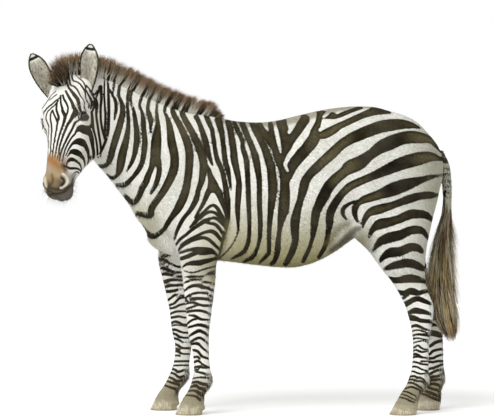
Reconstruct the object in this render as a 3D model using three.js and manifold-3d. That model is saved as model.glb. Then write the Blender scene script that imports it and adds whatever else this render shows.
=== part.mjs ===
// A plains zebra standing on its four hooves with its head turned to its left.
// Units are millimetres, +Z is up, the animal faces -Y and its left side is +X.
// The flesh is one smooth field, positive outside and negative inside, put together from
// profiles (long parts with a low line, a high line and a width) and from rounded masses.
// It is meshed region by region, and thin flat cuts part it into head, neck, trunk and legs.
import * as THREE from "three";
import { mergeVertices } from "three/addons/utils/BufferGeometryUtils.js";
import Module from "manifold-3d";

const wasm = await Module();
wasm.setup();
const rad = THREE.MathUtils.degToRad;

// ---- Driving dimensions: body -------------------------------------------------------
const COAT = 4; // depth of the short coat over the skin
const GAP = 0.35; // clearance between neighbouring solids
const FORE_STRIDE = 78; // how far the right knee stands ahead of the left
const HIND_STRIDE = 84; // how far the right hock stands behind the left
const ELBOW_REACH = 28; // and how much further the elbow and the hooves are set
const FORE_REACH = 40;
const HIND_REACH = 34;

// Rows of [distance along Y, low line, high line, half width].
const TRUNK = [
  [-430, 895, 1035, 50],
  [-396, 806, 1135, 102],
  [-320, 724, 1230, 150],
  [-215, 685, 1280, 177],
  [-115, 672, 1283, 196],
  [-40, 664, 1268, 212],
  [50, 653, 1272, 229],
  [150, 643, 1284, 237],
  [235, 643, 1304, 237],
  [330, 670, 1326, 229],
  [410, 714, 1339, 216],
  [500, 778, 1346, 202],
  [590, 828, 1338, 186],
  [660, 868, 1298, 160],
  [730, 918, 1243, 128],
  [790, 973, 1186, 90],
  [838, 1038, 1138, 50],
];
// The neck's rows run along its own axis, which climbs from NECK_BASE at NECK_RISE.
const NECK_BASE = [0, -300, 1078];
const NECK_RISE = rad(38);
const NECK_BEND = 90; // how far the neck's upper end leans to the left
const NECK = [
  [-120, -235, 205, 140],
  [-40, -252, 222, 136],
  [0, -258, 232, 130],
  [90, -240, 224, 112],
  [190, -214, 196, 95],
  [290, -194, 168, 84],
  [390, -165, 146, 76],
  [490, -120, 118, 70],
  [560, -70, 80, 58],
  [600, -30, 40, 40],
];
// Rows of [height, front, back, half width, distance from the middle plane].
const FORELEG = [
  [20, -276, -164, 44, 97],
  [66, -262, -172, 36, 98],
  [95, -243, -166, 31, 98],
  [122, -230, -146, 33, 99],
  [148, -222, -134, 35, 99],
  [190, -214, -142, 27, 100],
  [240, -215, -148, 25, 100],
  [291, -222, -150, 28, 101],
  [330, -233, -150, 37, 102],
  [372, -240, -148, 41, 103],
  [420, -245, -142, 38, 104],
  [516, -254, -130, 44, 106],
  [610, -264, -120, 54, 110],
  [700, -276, -118, 62, 116],
  [780, -282, -130, 60, 122],
  [850, -270, -160, 44, 124],
];
const HINDLEG = [
  [20, 660, 764, 44, 101],
  [66, 678, 768, 36, 102],
  [95, 694, 778, 31, 102],
  [122, 712, 800, 34, 103],
  [150, 724, 812, 36, 103],
  [198, 738, 810, 28, 103],
  [250, 743, 810, 27, 104],
  [310, 744, 812, 30, 105],
  [370, 738, 818, 38, 106],
  [430, 724, 828, 45, 107],
  [480, 708, 828, 46, 108],
  [530, 683, 810, 46, 110],
  [580, 652, 796, 54, 113],
  [640, 606, 790, 68, 118],
  [712, 558, 796, 82, 121],
  [790, 534, 806, 90, 118],
  [870, 556, 800, 80, 110],
  [930, 606, 770, 50, 105],
];
const TAIL = [
  [768, 892, 912, 11, 0],
  [868, 888, 917, 15, 0],
  [958, 884, 919, 19, 0],
  [1038, 872, 916, 23, 0],
  [1098, 850, 905, 27, 0],
  [1153, 812, 878, 32, 0],
];

// Rounded masses, one on each side: [x, y, z, radius across, along, up, tilt in degrees, blend].
// A positive tilt lifts the tail end of the mass.
const MASSES = [
  [0, -75, 1204, 56, 165, 64, -10, 70], // withers
  [88, 634, 1116, 122, 204, 200, 0, 70], // croup
  [68, 766, 998, 80, 94, 196, -12, 60], // buttock
  [104, 650, 903, 96, 160, 185, 10, 70], // thigh
  [134, 560, 818, 56, 68, 78, 0, 60], // stifle
  [126, 440, 1222, 66, 84, 66, 0, 90], // point of the hip
  [110, -226, 1073, 62, 104, 225, -28, 90], // shoulder blade
  [96, -344, 913, 64, 76, 84, 0, 70], // point of the shoulder
  [124, -195, 853, 62, 110, 112, 20, 60], // triceps
  [44, -384, 858, 54, 54, 84, 20, 60], // breast
  [0, -308, 750, 64, 110, 50, -14, 60], // brisket
  [118, -150, 755, 46, 54, 62, 0, 50], // elbow
];

// ---- Driving dimensions: head -------------------------------------------------------
// The head has its own frame: down the face, out of the brow, and to the animal's left.
const POLL = [150, -780, 1482];
const HEAD_TURN = rad(57); // from straight ahead towards the left
const FACE_LEAN = rad(25); // of the nose line from the vertical
const HEAD_ROLL = rad(9); // the crown leans to the right
// Rows of [down the face, throat side, brow side, half width].
const SKULL = [
  [-16, -104, -30, 44],
  [30, -128, -8, 62],
  [90, -138, 8, 76],
  [150, -140, 12, 87],
  [200, -142, 9, 87],
  [260, -140, 3, 71],
  [320, -132, -1, 57],
  [380, -124, -5, 49],
  [440, -121, -10, 47],
  [490, -121, -22, 50],
  [522, -114, -40, 46],
  [540, -104, -62, 34],
];
const JAW = [
  [60, -205, -60, 56],
  [100, -246, -60, 68],
  [145, -276, -60, 76],
  [195, -290, -60, 80],
  [245, -286, -60, 77],
  [295, -262, -60, 66],
  [350, -221, -60, 50],
  [410, -184, -60, 40],
  [450, -166, -70, 37],
  [490, -158, -80, 36],
  [518, -148, -85, 33],
  [534, -136, -95, 24],
];
// As MASSES, but [down the face, out of the brow, to the side, three radii, blend].
const HEAD_MASSES = [
  [194, -54, 79, 46, 37, 36, 30], // orbit
  [146, -38, 64, 60, 38, 36, 40], // temple
  [196, -176, 58, 100, 100, 36, 40], // cheek
  [270, -94, 58, 84, 36, 24, 40], // cheekbone ridge
  [492, -66, 30, 40, 36, 26, 28], // nostril wing
  [518, -92, 20, 28, 34, 34, 22], // upper lip
  [512, -132, 12, 30, 20, 26, 18], // chin
  [44, -72, 62, 46, 46, 42, 36], // base of the ear
];
const EYE = {
  down: 198, // the ball's middle in the head's frame
  out: -60,
  side: 94,
  radius: 23,
  gaze: [0, 0.42, 0.9], // the way it looks: down the face, out of the brow, to the side
  opening: [15, 23], // radius of the gap between the lids at the ball and out at the coat
  lidDepth: 12.5, // where that gap starts along the gaze
  lidReach: 40, // and its length
};

// An ear: a cupped leaf. Rows of [share of its length, half width, depth of the cup].
const EAR_LENGTH = 207;
const EAR_ROOT = [50, -65, 94];
const EAR_SPLAY = { left: rad(1), right: rad(22) }; // from the head's own upright
const EAR_PRICK = { left: rad(8), right: rad(30) }; // forwards
const EAR_OPENING = { left: rad(48), right: rad(-24) }; // turned outwards from straight ahead
const EAR_THICKNESS = 7;
const EAR = [
  [0, 24, 26],
  [0.15, 32, 31],
  [0.35, 39, 29],
  [0.55, 42, 24],
  [0.72, 39, 18],
  [0.86, 29, 11],
  [0.96, 15, 5],
  [1, 7, 2],
];

// ---- Driving dimensions: hair and horn ------------------------------------------------
// The standing mane runs along the crest and over the poll to the forelock.
const MANE_HALF = 20;
const MANE_ROOT = 16; // depth of its foot inside the crest, cut away afterwards
// Rows of [share of its length, height].
const MANE = [
  [0, 30],
  [0.03, 70],
  [0.1, 84],
  [0.3, 92],
  [0.6, 103],
  [0.85, 112],
  [0.94, 112],
  [1, 76],
];
// The tail's long hair. Rows of [height, front, back, half width].
const TUFT = [
  [893, 878, 922, 20],
  [848, 866, 923, 25],
  [768, 842, 925, 30],
  [688, 824, 928, 34],
  [608, 814, 933, 36],
  [528, 812, 939, 35],
  [448, 824, 945, 31],
  [388, 850, 948, 24],
  [345, 880, 946, 13],
  [325, 900, 938, 5],
];
const HOOF = {
  ground: [59, 50], // half length and half width on the floor
  coronet: [46, 42], // the same at the top
  front: 60, // height of the top edge at the toe
  heel: 33, // and at the heel
  toe: { fore: -296, hind: 640 }, // front point of a left hoof
  toeSlope: { fore: 29, hind: 33 }, // how far the toe leans back over its height
  side: 98,
};

// ---- Field -------------------------------------------------------------------------
const clamp = THREE.MathUtils.clamp;
const smooth = THREE.MathUtils.smoothstep;

// The union of two distances, with the corner between them filled over a length k.
function blend(a, b, k) {
  const h = Math.max(k - Math.abs(a - b), 0) / k;
  return Math.min(a, b) - (h * h * k) / 4;
}

// Rows as a function that gives every column at a place along, by cubic curves.
function smoothRows(rows) {
  const columns = rows[0].length - 1;
  const last = rows.length - 1;
  return (at) => {
    const x = clamp(at, rows[0][0], rows[last][0]);
    let i = 0;
    while (i < last - 1 && x > rows[i + 1][0]) i++;
    const before = rows[Math.max(i - 1, 0)];
    const low = rows[i];
    const high = rows[i + 1];
    const after = rows[Math.min(i + 2, last)];
    const h = high[0] - low[0];
    const t = (x - low[0]) / h;
    const made = [];
    for (let c = 1; c <= columns; c++) {
      const slopeLow = (h * (high[c] - before[c])) / (high[0] - before[0]);
      const slopeHigh = (h * (after[c] - low[c])) / (after[0] - low[0]);
      const ends = (2 * t ** 3 - 3 * t ** 2 + 1) * low[c] + (3 * t ** 2 - 2 * t ** 3) * high[c];
      made.push(ends + (t ** 3 - 2 * t ** 2 + t) * slopeLow + (t ** 3 - t ** 2) * slopeHigh);
    }
    return made;
  };
}

// A long part. egg narrows its high side, and square fills out its corners.
function profile(rows, { egg = 0, square = 2 } = {}) {
  const at = smoothRows(rows);
  const first = rows[0][0];
  const last = rows[rows.length - 1][0];
  return (along, height, side) => {
    const [low, high, width, offset = 0] = at(along);
    const half = (high - low) / 2;
    const v = (height - (high + low) / 2) / half;
    const across = width * (1 - egg * clamp(v, -1, 1));
    const au = Math.abs((side - offset) / across);
    const av = Math.abs(v);
    const q = Math.max((au ** square + av ** square) ** (1 / square), 1e-3);
    const steep = Math.hypot(au ** (square - 1) / across, av ** (square - 1) / half);
    const d = (q - 1) / Math.max(steep / q ** (square - 1), 1e-4);
    const past = Math.max(first - along, along - last);
    return past > 0 ? Math.hypot(Math.max(d, 0), past) : Math.max(d, past);
  };
}

function ellipsoid(dx, dy, dz, rx, ry, rz) {
  const q = Math.max(Math.hypot(dx / rx, dy / ry, dz / rz), 1e-3);
  return (q * (q - 1)) / Math.hypot(dx / rx ** 2, dy / ry ** 2, dz / rz ** 2);
}

const parts = {
  trunk: profile(TRUNK, { egg: 0.1, square: 2.25 }),
  neck: profile(NECK, { egg: 0.28, square: 2.1 }),
  foreleg: profile(FORELEG, { square: 2.2 }),
  hindleg: profile(HINDLEG, { square: 2.2 }),
  tail: profile(TAIL),
  skull: profile(SKULL, { egg: 0.1, square: 2.5 }),
  jaw: profile(JAW, { square: 2.4 }),
};

const poll = new THREE.Vector3(...POLL);
const neckBase = new THREE.Vector3(...NECK_BASE);
const neckAxis = new THREE.Vector3(0, -Math.cos(NECK_RISE), Math.sin(NECK_RISE));
const neckUp = new THREE.Vector3(0, Math.sin(NECK_RISE), Math.cos(NECK_RISE));
const ahead = new THREE.Vector3(Math.sin(HEAD_TURN), -Math.cos(HEAD_TURN), 0);
const outOfBrow = ahead.clone().multiplyScalar(Math.cos(FACE_LEAN)).setZ(Math.sin(FACE_LEAN));
const downFace = ahead.clone().multiplyScalar(Math.sin(FACE_LEAN)).setZ(-Math.cos(FACE_LEAN));
downFace.applyAxisAngle(outOfBrow, HEAD_ROLL);
const leftward = outOfBrow.clone().cross(downFace);

const neckBend = (along) => NECK_BEND * (clamp(along - 130, 0, 470) / 470) ** 2;
const foreShift = (z) =>
  -FORE_STRIDE * (1 - smooth(z, 640, 980)) -
  ELBOW_REACH * smooth(z, 400, 700) * (1 - smooth(z, 700, 980)) -
  FORE_REACH * (1 - smooth(z, 60, 330));
const hindShift = (z) => HIND_STRIDE * (1 - smooth(z, 200, 900)) + HIND_REACH * (1 - smooth(z, 40, 180));

function headPoint(down, out, side) {
  const p = poll.clone().addScaledVector(downFace, down).addScaledVector(outOfBrow, out);
  return p.addScaledVector(leftward, side);
}

function headField(p) {
  const d = p.clone().sub(poll);
  const t = d.dot(downFace);
  const n = d.dot(outOfBrow);
  const s = d.dot(leftward);
  let f = blend(parts.skull(t, n, s), parts.jaw(t, n, s), 26);
  for (const [down, out, side, along, deep, across, k] of HEAD_MASSES)
    f = blend(f, ellipsoid(t - down, n - out, Math.abs(s) - side, along, deep, across), k);
  return f;
}

// All but the head and the tail.
function bodyField(p) {
  let f = parts.trunk(p.y, p.z, p.x);
  for (const [mx, my, mz, across, along, up, tilt, k] of MASSES) {
    const dy = p.y - my;
    const dz = p.z - mz;
    const c = Math.cos(rad(tilt));
    const s = Math.sin(rad(tilt));
    f = blend(f, ellipsoid(Math.abs(p.x) - mx, dy * c + dz * s, dz * c - dy * s, across, along, up), k);
  }
  const n = p.clone().sub(neckBase);
  const along = n.dot(neckAxis);
  f = blend(f, parts.neck(along, n.dot(neckUp), n.x - neckBend(along)), 70);
  for (const side of [1, -1]) {
    const left = side > 0;
    f = blend(f, parts.foreleg(p.z, p.y - (left ? 0 : foreShift(p.z)), p.x * side), 40);
    f = blend(f, parts.hindleg(p.z, p.y - (left ? 0 : hindShift(p.z)), p.x * side), 44);
  }
  return f;
}

const coated = (p) => bodyField(p) - COAT;

// ---- A field as a closed mesh --------------------------------------------------------
const mixed = (a, b, t) => a.clone().multiplyScalar(1 - t).addScaledVector(b, t);

// The first place where a straight line from an inside point leaves the field.
function exit(field, start, direction) {
  const pace = 9;
  const at = (d) => field(start.clone().addScaledVector(direction, d));
  let inside = 0;
  while (at(inside + pace) < 0) inside += pace;
  let outside = inside + pace;
  for (let turn = 0; turn < 12; turn++) {
    const middle = (inside + outside) / 2;
    if (at(middle) < 0) inside = middle;
    else outside = middle;
  }
  return start.clone().addScaledVector(direction, inside);
}

// A closed mesh round a spine: a ring of lines goes out square from each of its points, and the
// lines fan round to the tangent at both ends, in the two given numbers of steps. The field must
// be inside all along the spine.
function cast(field, spine, { rays, stations, fan, across }) {
  const line = new THREE.CatmullRomCurve3(spine, false, "centripetal");
  const rings = [];
  const ring = (at, lean) => {
    const start = line.getPointAt(at);
    const along = line.getTangentAt(at);
    const u = across.clone().addScaledVector(along, -across.dot(along)).normalize();
    const w = along.clone().cross(u);
    const points = [];
    for (let i = 0; i < rays; i++) {
      const turn = (2 * Math.PI * i) / rays;
      const out = u.clone().multiplyScalar(Math.cos(turn)).addScaledVector(w, Math.sin(turn));
      out.multiplyScalar(Math.cos(lean)).addScaledVector(along, Math.sin(lean));
      points.push(exit(field, start, out));
    }
    rings.push(points);
  };
  const quarter = Math.PI / 2;
  for (let i = 1; i < fan[0]; i++) ring(0, quarter * (i / fan[0] - 1));
  for (let i = 0; i <= stations; i++) ring(i / stations, 0);
  for (let i = 1; i < fan[1]; i++) ring(1, (quarter * i) / fan[1]);
  const tip = (at, sign) => exit(field, line.getPointAt(at), line.getTangentAt(at).multiplyScalar(sign));
  return loft(rings, [tip(0, -1), tip(1, 1)]);
}

// A closed skin over rings of points, which run anticlockwise seen from beyond the last ring.
// Its ends are fans round the given tips, or round the middle of the end rings.
function loft(rings, tips) {
  const n = rings[0].length;
  const points = rings.flat();
  const faces = [];
  for (let i = 0; i < rings.length - 1; i++)
    for (let j = 0; j < n; j++) {
      const [a, b] = [i * n + j, i * n + ((j + 1) % n)];
      faces.push(a, b, b + n, a, b + n, a + n);
    }
  for (const end of [0, 1]) {
    const ring = end * (rings.length - 1);
    const middle = rings[ring].reduce((sum, p) => sum.add(p), new THREE.Vector3()).divideScalar(n);
    points.push(tips ? tips[end] : middle);
    for (let j = 0; j < n; j++) {
      const [a, b] = [ring * n + j, ring * n + ((j + 1) % n)];
      faces.push(...(end ? [a, b, points.length - 1] : [b, a, points.length - 1]));
    }
  }
  const geometry = new THREE.BufferGeometry().setFromPoints(points);
  geometry.setIndex(faces);
  return geometry;
}

// ---- Solids and cuts -----------------------------------------------------------------
function solid(geometry) {
  const bare = geometry.clone();
  bare.deleteAttribute("normal");
  bare.deleteAttribute("uv");
  const merged = mergeVertices(bare, 1e-3);
  return new wasm.Manifold(
    new wasm.Mesh({
      numProp: 3,
      vertProperties: new Float32Array(merged.attributes.position.array),
      triVerts: new Uint32Array(merged.index.array),
    }),
  );
}

function geometryOf(made) {
  const mesh = made.getMesh();
  const geometry = new THREE.BufferGeometry();
  geometry.setAttribute("position", new THREE.BufferAttribute(new Float32Array(mesh.vertProperties), 3));
  geometry.setIndex(new THREE.BufferAttribute(mesh.triVerts, 1));
  geometry.computeVertexNormals();
  return geometry;
}

function block(low, high) {
  const size = high.map((v, i) => v - low[i]);
  const middle = high.map((v, i) => (v + low[i]) / 2);
  return solid(new THREE.BoxGeometry(...size).translate(...middle));
}

// Everything on the side of a plane that its normal points to, up to 3 m away.
function beyond(normal, point) {
  const size = 3000;
  const box = new THREE.BoxGeometry(size, size, size).translate(0, 0, size / 2);
  box.applyQuaternion(new THREE.Quaternion().setFromUnitVectors(new THREE.Vector3(0, 0, 1), normal));
  return solid(box.translate(point.x, point.y, point.z));
}

// Cuts a neighbour out of a solid, and a little more along each of the given directions.
function clear(made, neighbour, directions) {
  made = made.subtract(neighbour);
  for (const d of directions) made = made.subtract(neighbour.translate([d.x * GAP, d.y * GAP, d.z * GAP]));
  return made;
}

// Drops the slivers that a cut leaves beside the main body.
function biggest(made) {
  return made.decompose().reduce((a, b) => (b.volume() > a.volume() ? b : a));
}

const zebra = new THREE.Group();
const coatMaterial = new THREE.MeshStandardMaterial({ color: 0xd9d2c2, roughness: 0.75, metalness: 0 });
const hairMaterial = new THREE.MeshStandardMaterial({ color: 0x4a3a2a, roughness: 0.7, metalness: 0 });
const hoofMaterial = new THREE.MeshStandardMaterial({ color: 0x9a9284, roughness: 0.5, metalness: 0 });
const eyeMaterial = new THREE.MeshStandardMaterial({ color: 0x17100c, roughness: 0.1, metalness: 0 });

function place(name, geometry, material) {
  const mesh = new THREE.Mesh(geometry, material);
  mesh.name = name;
  zebra.add(mesh);
}

// The plane where the neck leaves the shoulder.
const shoulderPlane = neckBase.clone().addScaledVector(neckAxis, 60);
const halfGap = (normal, point, sign) => point.clone().addScaledVector(normal, (sign * GAP) / 2);
const towards = (v) => v.clone().negate();
// Boxes round each leg below these cuts.
const LEG_TOP = { fore: 742, hind: 772 };
const FORE_INNER = 38;
const HIND_INNER = 6;
const legBox = (side, top, inner, front, back, grow) => {
  const g = (grow * GAP) / 2;
  const [a, b] = [inner - g, 400];
  return block([side > 0 ? a : -b, front - g, -50], [side > 0 ? b : -a, back + g, top + g]);
};
const foreBox = (side, grow) => legBox(side, LEG_TOP.fore, FORE_INNER, -480, -92, grow);
const hindBox = (side, grow) => legBox(side, LEG_TOP.hind, HIND_INNER, 498, 1000, grow);

// ---- Trunk, neck and head -------------------------------------------------------------
// Before the flat cuts, each region's field stops a little way past them.
const PAST = 55;
const stopAt = (normal, point) => (p) => p.clone().sub(point).dot(normal) - PAST;
const leftSide = new THREE.Vector3(1, 0, 0);

const trunkField = (p) => {
  const low = p.y < 200 ? LEG_TOP.fore : LEG_TOP.hind;
  const inner = p.y < 200 ? FORE_INNER : HIND_INNER;
  const inLeg = Math.abs(p.x) > inner && (p.y < -92 || p.y > 498) ? low - PAST - p.z : -PAST;
  return Math.max(coated(p), stopAt(neckAxis, shoulderPlane)(p), inLeg);
};
const trunkSpine = [
  [-355, 1121],
  [-308, 1084],
  [-210, 1022],
  [-60, 988],
  [200, 990],
  [420, 1035],
  [600, 1060],
];
let trunk = solid(
  cast(
    trunkField,
    trunkSpine.map(([y, z]) => new THREE.Vector3(0, y, z)),
    { rays: 28, stations: 18, fan: [1, 7], across: leftSide },
  ),
);
trunk = trunk.intersect(beyond(towards(neckAxis), halfGap(neckAxis, shoulderPlane, -1)));
for (const side of [1, -1]) trunk = trunk.subtract(foreBox(side, 1)).subtract(hindBox(side, 1));
place("trunk", geometryOf(trunk), coatMaterial);

const headSpine = [[50, -64], [120, -72], [200, -78], [300, -78], [400, -74], [485, -84]];
let head = solid(
  cast(
    (p) => headField(p) - COAT,
    headSpine.map(([down, out]) => headPoint(down, out, 0)),
    { rays: 26, stations: 21, fan: [4, 4], across: leftward },
  ),
);
const neckField = (p) => Math.max(coated(p), stopAt(towards(neckAxis), shoulderPlane)(p));
const neckSpine = [45, 180, 280, 370, 440, 500].map((along) => {
  const p = neckBase.clone().addScaledVector(neckAxis, along);
  return p.setX(p.x + neckBend(along));
});
const neckMesh = { rays: 20, stations: 11, fan: [1, 3], across: leftSide };
const uncutNeck = solid(cast(neckField, neckSpine, neckMesh));
let neck = uncutNeck.intersect(beyond(neckAxis, halfGap(neckAxis, shoulderPlane, 1)));
neck = biggest(clear(neck, head, [towards(neckAxis), leftSide, towards(leftSide)]));
place("neck", geometryOf(neck), coatMaterial);

const eyeballs = {};
for (const [name, side] of [["left", 1], ["right", -1]]) {
  const centre = headPoint(EYE.down, EYE.out, EYE.side * side);
  const round = (radius) => new THREE.SphereGeometry(radius, 12, 8);
  const ball = (radius) => solid(round(radius).translate(centre.x, centre.y, centre.z));
  eyeballs[name] = ball(EYE.radius);
  head = head.subtract(ball(EYE.radius + GAP));
  const [gazeDown, gazeOut, gazeSide] = EYE.gaze;
  const gaze = downFace.clone().multiplyScalar(gazeDown).addScaledVector(outOfBrow, gazeOut);
  gaze.addScaledVector(leftward, gazeSide * side).normalize();
  const gap = new THREE.CylinderGeometry(EYE.opening[1], EYE.opening[0], EYE.lidReach, 12);
  gap.translate(0, EYE.lidDepth + EYE.lidReach / 2, 0);
  gap.applyQuaternion(new THREE.Quaternion().setFromUnitVectors(new THREE.Vector3(0, 1, 0), gaze));
  head = head.subtract(solid(gap.translate(centre.x, centre.y, centre.z)));
}
place("head", geometryOf(head), coatMaterial);
for (const name of ["left", "right"]) place(`eye_${name}`, geometryOf(eyeballs[name]), eyeMaterial);

// ---- Ears -------------------------------------------------------------------------------
const earRow = smoothRows(EAR);
function ear(side, splay, prick, opening) {
  const up = towards(downFace).multiplyScalar(Math.cos(splay));
  up.addScaledVector(leftward, side * Math.sin(splay));
  const facing = outOfBrow.clone().multiplyScalar(Math.cos(opening));
  facing.addScaledVector(leftward, side * Math.sin(opening));
  up.addScaledVector(outOfBrow, Math.tan(prick)).normalize();
  facing.addScaledVector(up, -facing.dot(up)).normalize();
  const across = up.clone().cross(facing);
  const root = headPoint(EAR_ROOT[0], EAR_ROOT[1], EAR_ROOT[2] * side);
  const steps = 7;
  const half = 3;
  const rings = [];
  for (let i = 0; i <= steps; i++) {
    const share = i / steps;
    const [width, depth] = earRow(share);
    const ring = [];
    const at = (u, back) => {
      const p = root.clone().addScaledVector(up, share * EAR_LENGTH);
      p.addScaledVector(across, u * (width + (back ? EAR_THICKNESS / 2 : 0)));
      return p.addScaledVector(facing, -depth * (1 - u * u) - (back ? EAR_THICKNESS : 0));
    };
    for (let j = -half; j <= half; j++) ring.push(at(j / half, false));
    for (let j = half; j >= -half; j--) ring.push(at(j / half, true));
    rings.push(ring);
  }
  const made = solid(loft(rings));
  const inside = leftward.clone().multiplyScalar(-side);
  return biggest(clear(clear(made, head, [up, inside]), neck, [up, outOfBrow, inside]));
}
const ears = [];
for (const [name, side] of [["left", 1], ["right", -1]]) {
  const made = ear(side, EAR_SPLAY[name], EAR_PRICK[name], EAR_OPENING[name]);
  ears.push(made);
  place(`ear_${name}`, geometryOf(made), coatMaterial);
}

// ---- Mane -------------------------------------------------------------------------------
const neckRow = smoothRows(NECK);
function crest(along) {
  const high = neckRow(along)[1];
  const p = neckBase.clone().addScaledVector(neckAxis, along).addScaledVector(neckUp, high);
  return p.setX(p.x + neckBend(along));
}
const crestPoints = [-48, 20, 110, 200, 290, 380, 460].map(crest);
crestPoints.push(headPoint(-22, -62, 0), headPoint(8, -24, 0), headPoint(56, 2, 0));
const crestLine = new THREE.CatmullRomCurve3(crestPoints, false, "centripetal");
const maneRow = smoothRows(MANE);
function mane() {
  const steps = 13;
  const rings = [];
  for (let i = 0; i <= steps; i++) {
    const share = i / steps;
    const p = crestLine.getPointAt(share);
    const along = crestLine.getTangentAt(share);
    const turn = smooth(share, 0.62, 1);
    const across = new THREE.Vector3(1, 0, 0).lerp(leftward, turn);
    across.addScaledVector(along, -across.dot(along)).normalize();
    const up = along.clone().cross(across).normalize();
    const [height] = maneRow(share);
    const outline = [[0.8, -MANE_ROOT], [1, 0.35 * height], [0.85, 0.75 * height], [0.4, height]];
    const both = [...outline, ...outline.map(([u, h]) => [-u, h]).reverse()];
    const at = (u, h) => p.clone().addScaledVector(across, u * MANE_HALF).addScaledVector(up, h);
    rings.push(both.map(([u, h]) => at(u, h)));
  }
  return loft(rings);
}
let crestHair = solid(mane());
for (const neighbour of [uncutNeck, trunk]) crestHair = clear(crestHair, neighbour, [neckUp]);
crestHair = clear(crestHair, head, [towards(downFace), outOfBrow]);
for (const made of ears) {
  const moved = [leftward, towards(leftward), outOfBrow, towards(outOfBrow)].map((d) => {
    const step = d.clone().multiplyScalar(GAP);
    return made.translate([step.x, step.y, step.z]);
  });
  crestHair = crestHair.subtract(wasm.Manifold.hull(moved));
}
crestHair = biggest(crestHair);
place("mane", geometryOf(crestHair), hairMaterial);

// ---- Legs and hooves ---------------------------------------------------------------------
// The top edge of each hoof is a plane that drops from the toe to the heel.
function hoof(pair, side) {
  const left = side > 0;
  const stride = pair === "fore" ? foreShift(0) : hindShift(0);
  const toe = HOOF.toe[pair] + (left ? 0 : stride);
  const n = 14;
  const levels = [0, 0.06, 0.5, 1];
  const rings = levels.map((level) => {
    const share = level;
    const halfLength = THREE.MathUtils.lerp(HOOF.ground[0], HOOF.coronet[0], share);
    const halfWidth = THREE.MathUtils.lerp(HOOF.ground[1], HOOF.coronet[1], share);
    const inset = level === 0 ? 2 : 0;
    const front = toe + HOOF.toeSlope[pair] * share;
    const ring = [];
    for (let i = 0; i < n; i++) {
      const a = (2 * Math.PI * i) / n;
      const y = front + halfLength - (halfLength - inset) * Math.cos(a);
      const full = Math.sign(Math.sin(a)) * Math.abs(Math.sin(a)) ** 0.85;
      const x = side * HOOF.side + (halfWidth - inset) * full * (1 - 0.1 * Math.cos(a));
      const back = (y - front) / (2 * halfLength);
      const top = THREE.MathUtils.lerp(HOOF.front, HOOF.heel, back);
      ring.push(new THREE.Vector3(x, y, top * level));
    }
    return ring;
  });
  return loft(rings);
}
for (const pair of ["fore", "hind"])
  for (const [name, side] of [["left", 1], ["right", -1]]) {
    const fore = pair === "fore";
    const shift = (z) => (side > 0 ? 0 : fore ? foreShift(z) : hindShift(z));
    const inner = fore ? FORE_INNER : HIND_INNER;
    const field = (p) => {
      const past = Math.max(p.z - LEG_TOP[pair], inner - p.x * side, fore ? p.y + 92 : 498 - p.y);
      return Math.max(coated(p), past - PAST);
    };
    const spine = [];
    const rows = fore ? FORELEG : HINDLEG;
    const top = LEG_TOP[pair] + 25;
    for (const [z, front, back, , offset] of rows) {
      if (z < top) spine.push(new THREE.Vector3(offset * side, (front + back) / 2 + shift(z), z));
    }
    spine.push(spine[spine.length - 1].clone().setZ(top));
    const legMesh = { rays: 14, stations: fore ? 18 : 19, fan: [1, 1], across: leftSide };
    let leg = solid(cast(field, spine, legMesh));
    leg = leg.intersect(fore ? foreBox(side, -1) : hindBox(side, -1));
    const toe = HOOF.toe[pair] + HOOF.toeSlope[pair] + shift(0);
    const slope = new THREE.Vector3(0, HOOF.front - HOOF.heel, 2 * HOOF.coronet[0]).normalize();
    leg = leg.intersect(beyond(slope, new THREE.Vector3(0, toe, HOOF.front + GAP)));
    place(`${pair}leg_${name}`, geometryOf(leg), coatMaterial);
    place(`hoof_${pair}_${name}`, geometryOf(solid(hoof(pair, side))), hoofMaterial);
  }

// ---- Tail ---------------------------------------------------------------------------------
const tailSpine = TAIL.slice(1).map(([z, front, back]) => new THREE.Vector3(0, (front + back) / 2, z));
const tailField = (p) => parts.tail(p.z, p.y, p.x) - COAT;
let tail = solid(cast(tailField, tailSpine, { rays: 10, stations: 6, fan: [1, 1], across: leftSide }));
tail = clear(tail, trunk, [new THREE.Vector3(0, 1, 0), new THREE.Vector3(0, 0, 1)]);
tail = tail.intersect(beyond(new THREE.Vector3(0, 0, 1), new THREE.Vector3(0, 0, TUFT[0][0] + GAP)));
place("tail", geometryOf(tail), coatMaterial);
const tuft = TUFT.map(([z, front, back, width]) => {
  const ring = [];
  for (let i = 0; i < 12; i++) {
    const a = (2 * Math.PI * i) / 12;
    const y = (front + back) / 2 + ((back - front) / 2) * Math.sin(a);
    ring.push(new THREE.Vector3(width * Math.cos(a), y, z));
  }
  return ring;
});
place("tail_tuft", geometryOf(solid(loft(tuft.reverse()))), hairMaterial);

// The origin is under the middle of the whole animal, on the floor.
const box = new THREE.Box3().setFromObject(zebra);
const middle = box.getCenter(new THREE.Vector3());
zebra.position.set(-middle.x, -middle.y, 0);

export default zebra;
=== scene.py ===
import math

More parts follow.
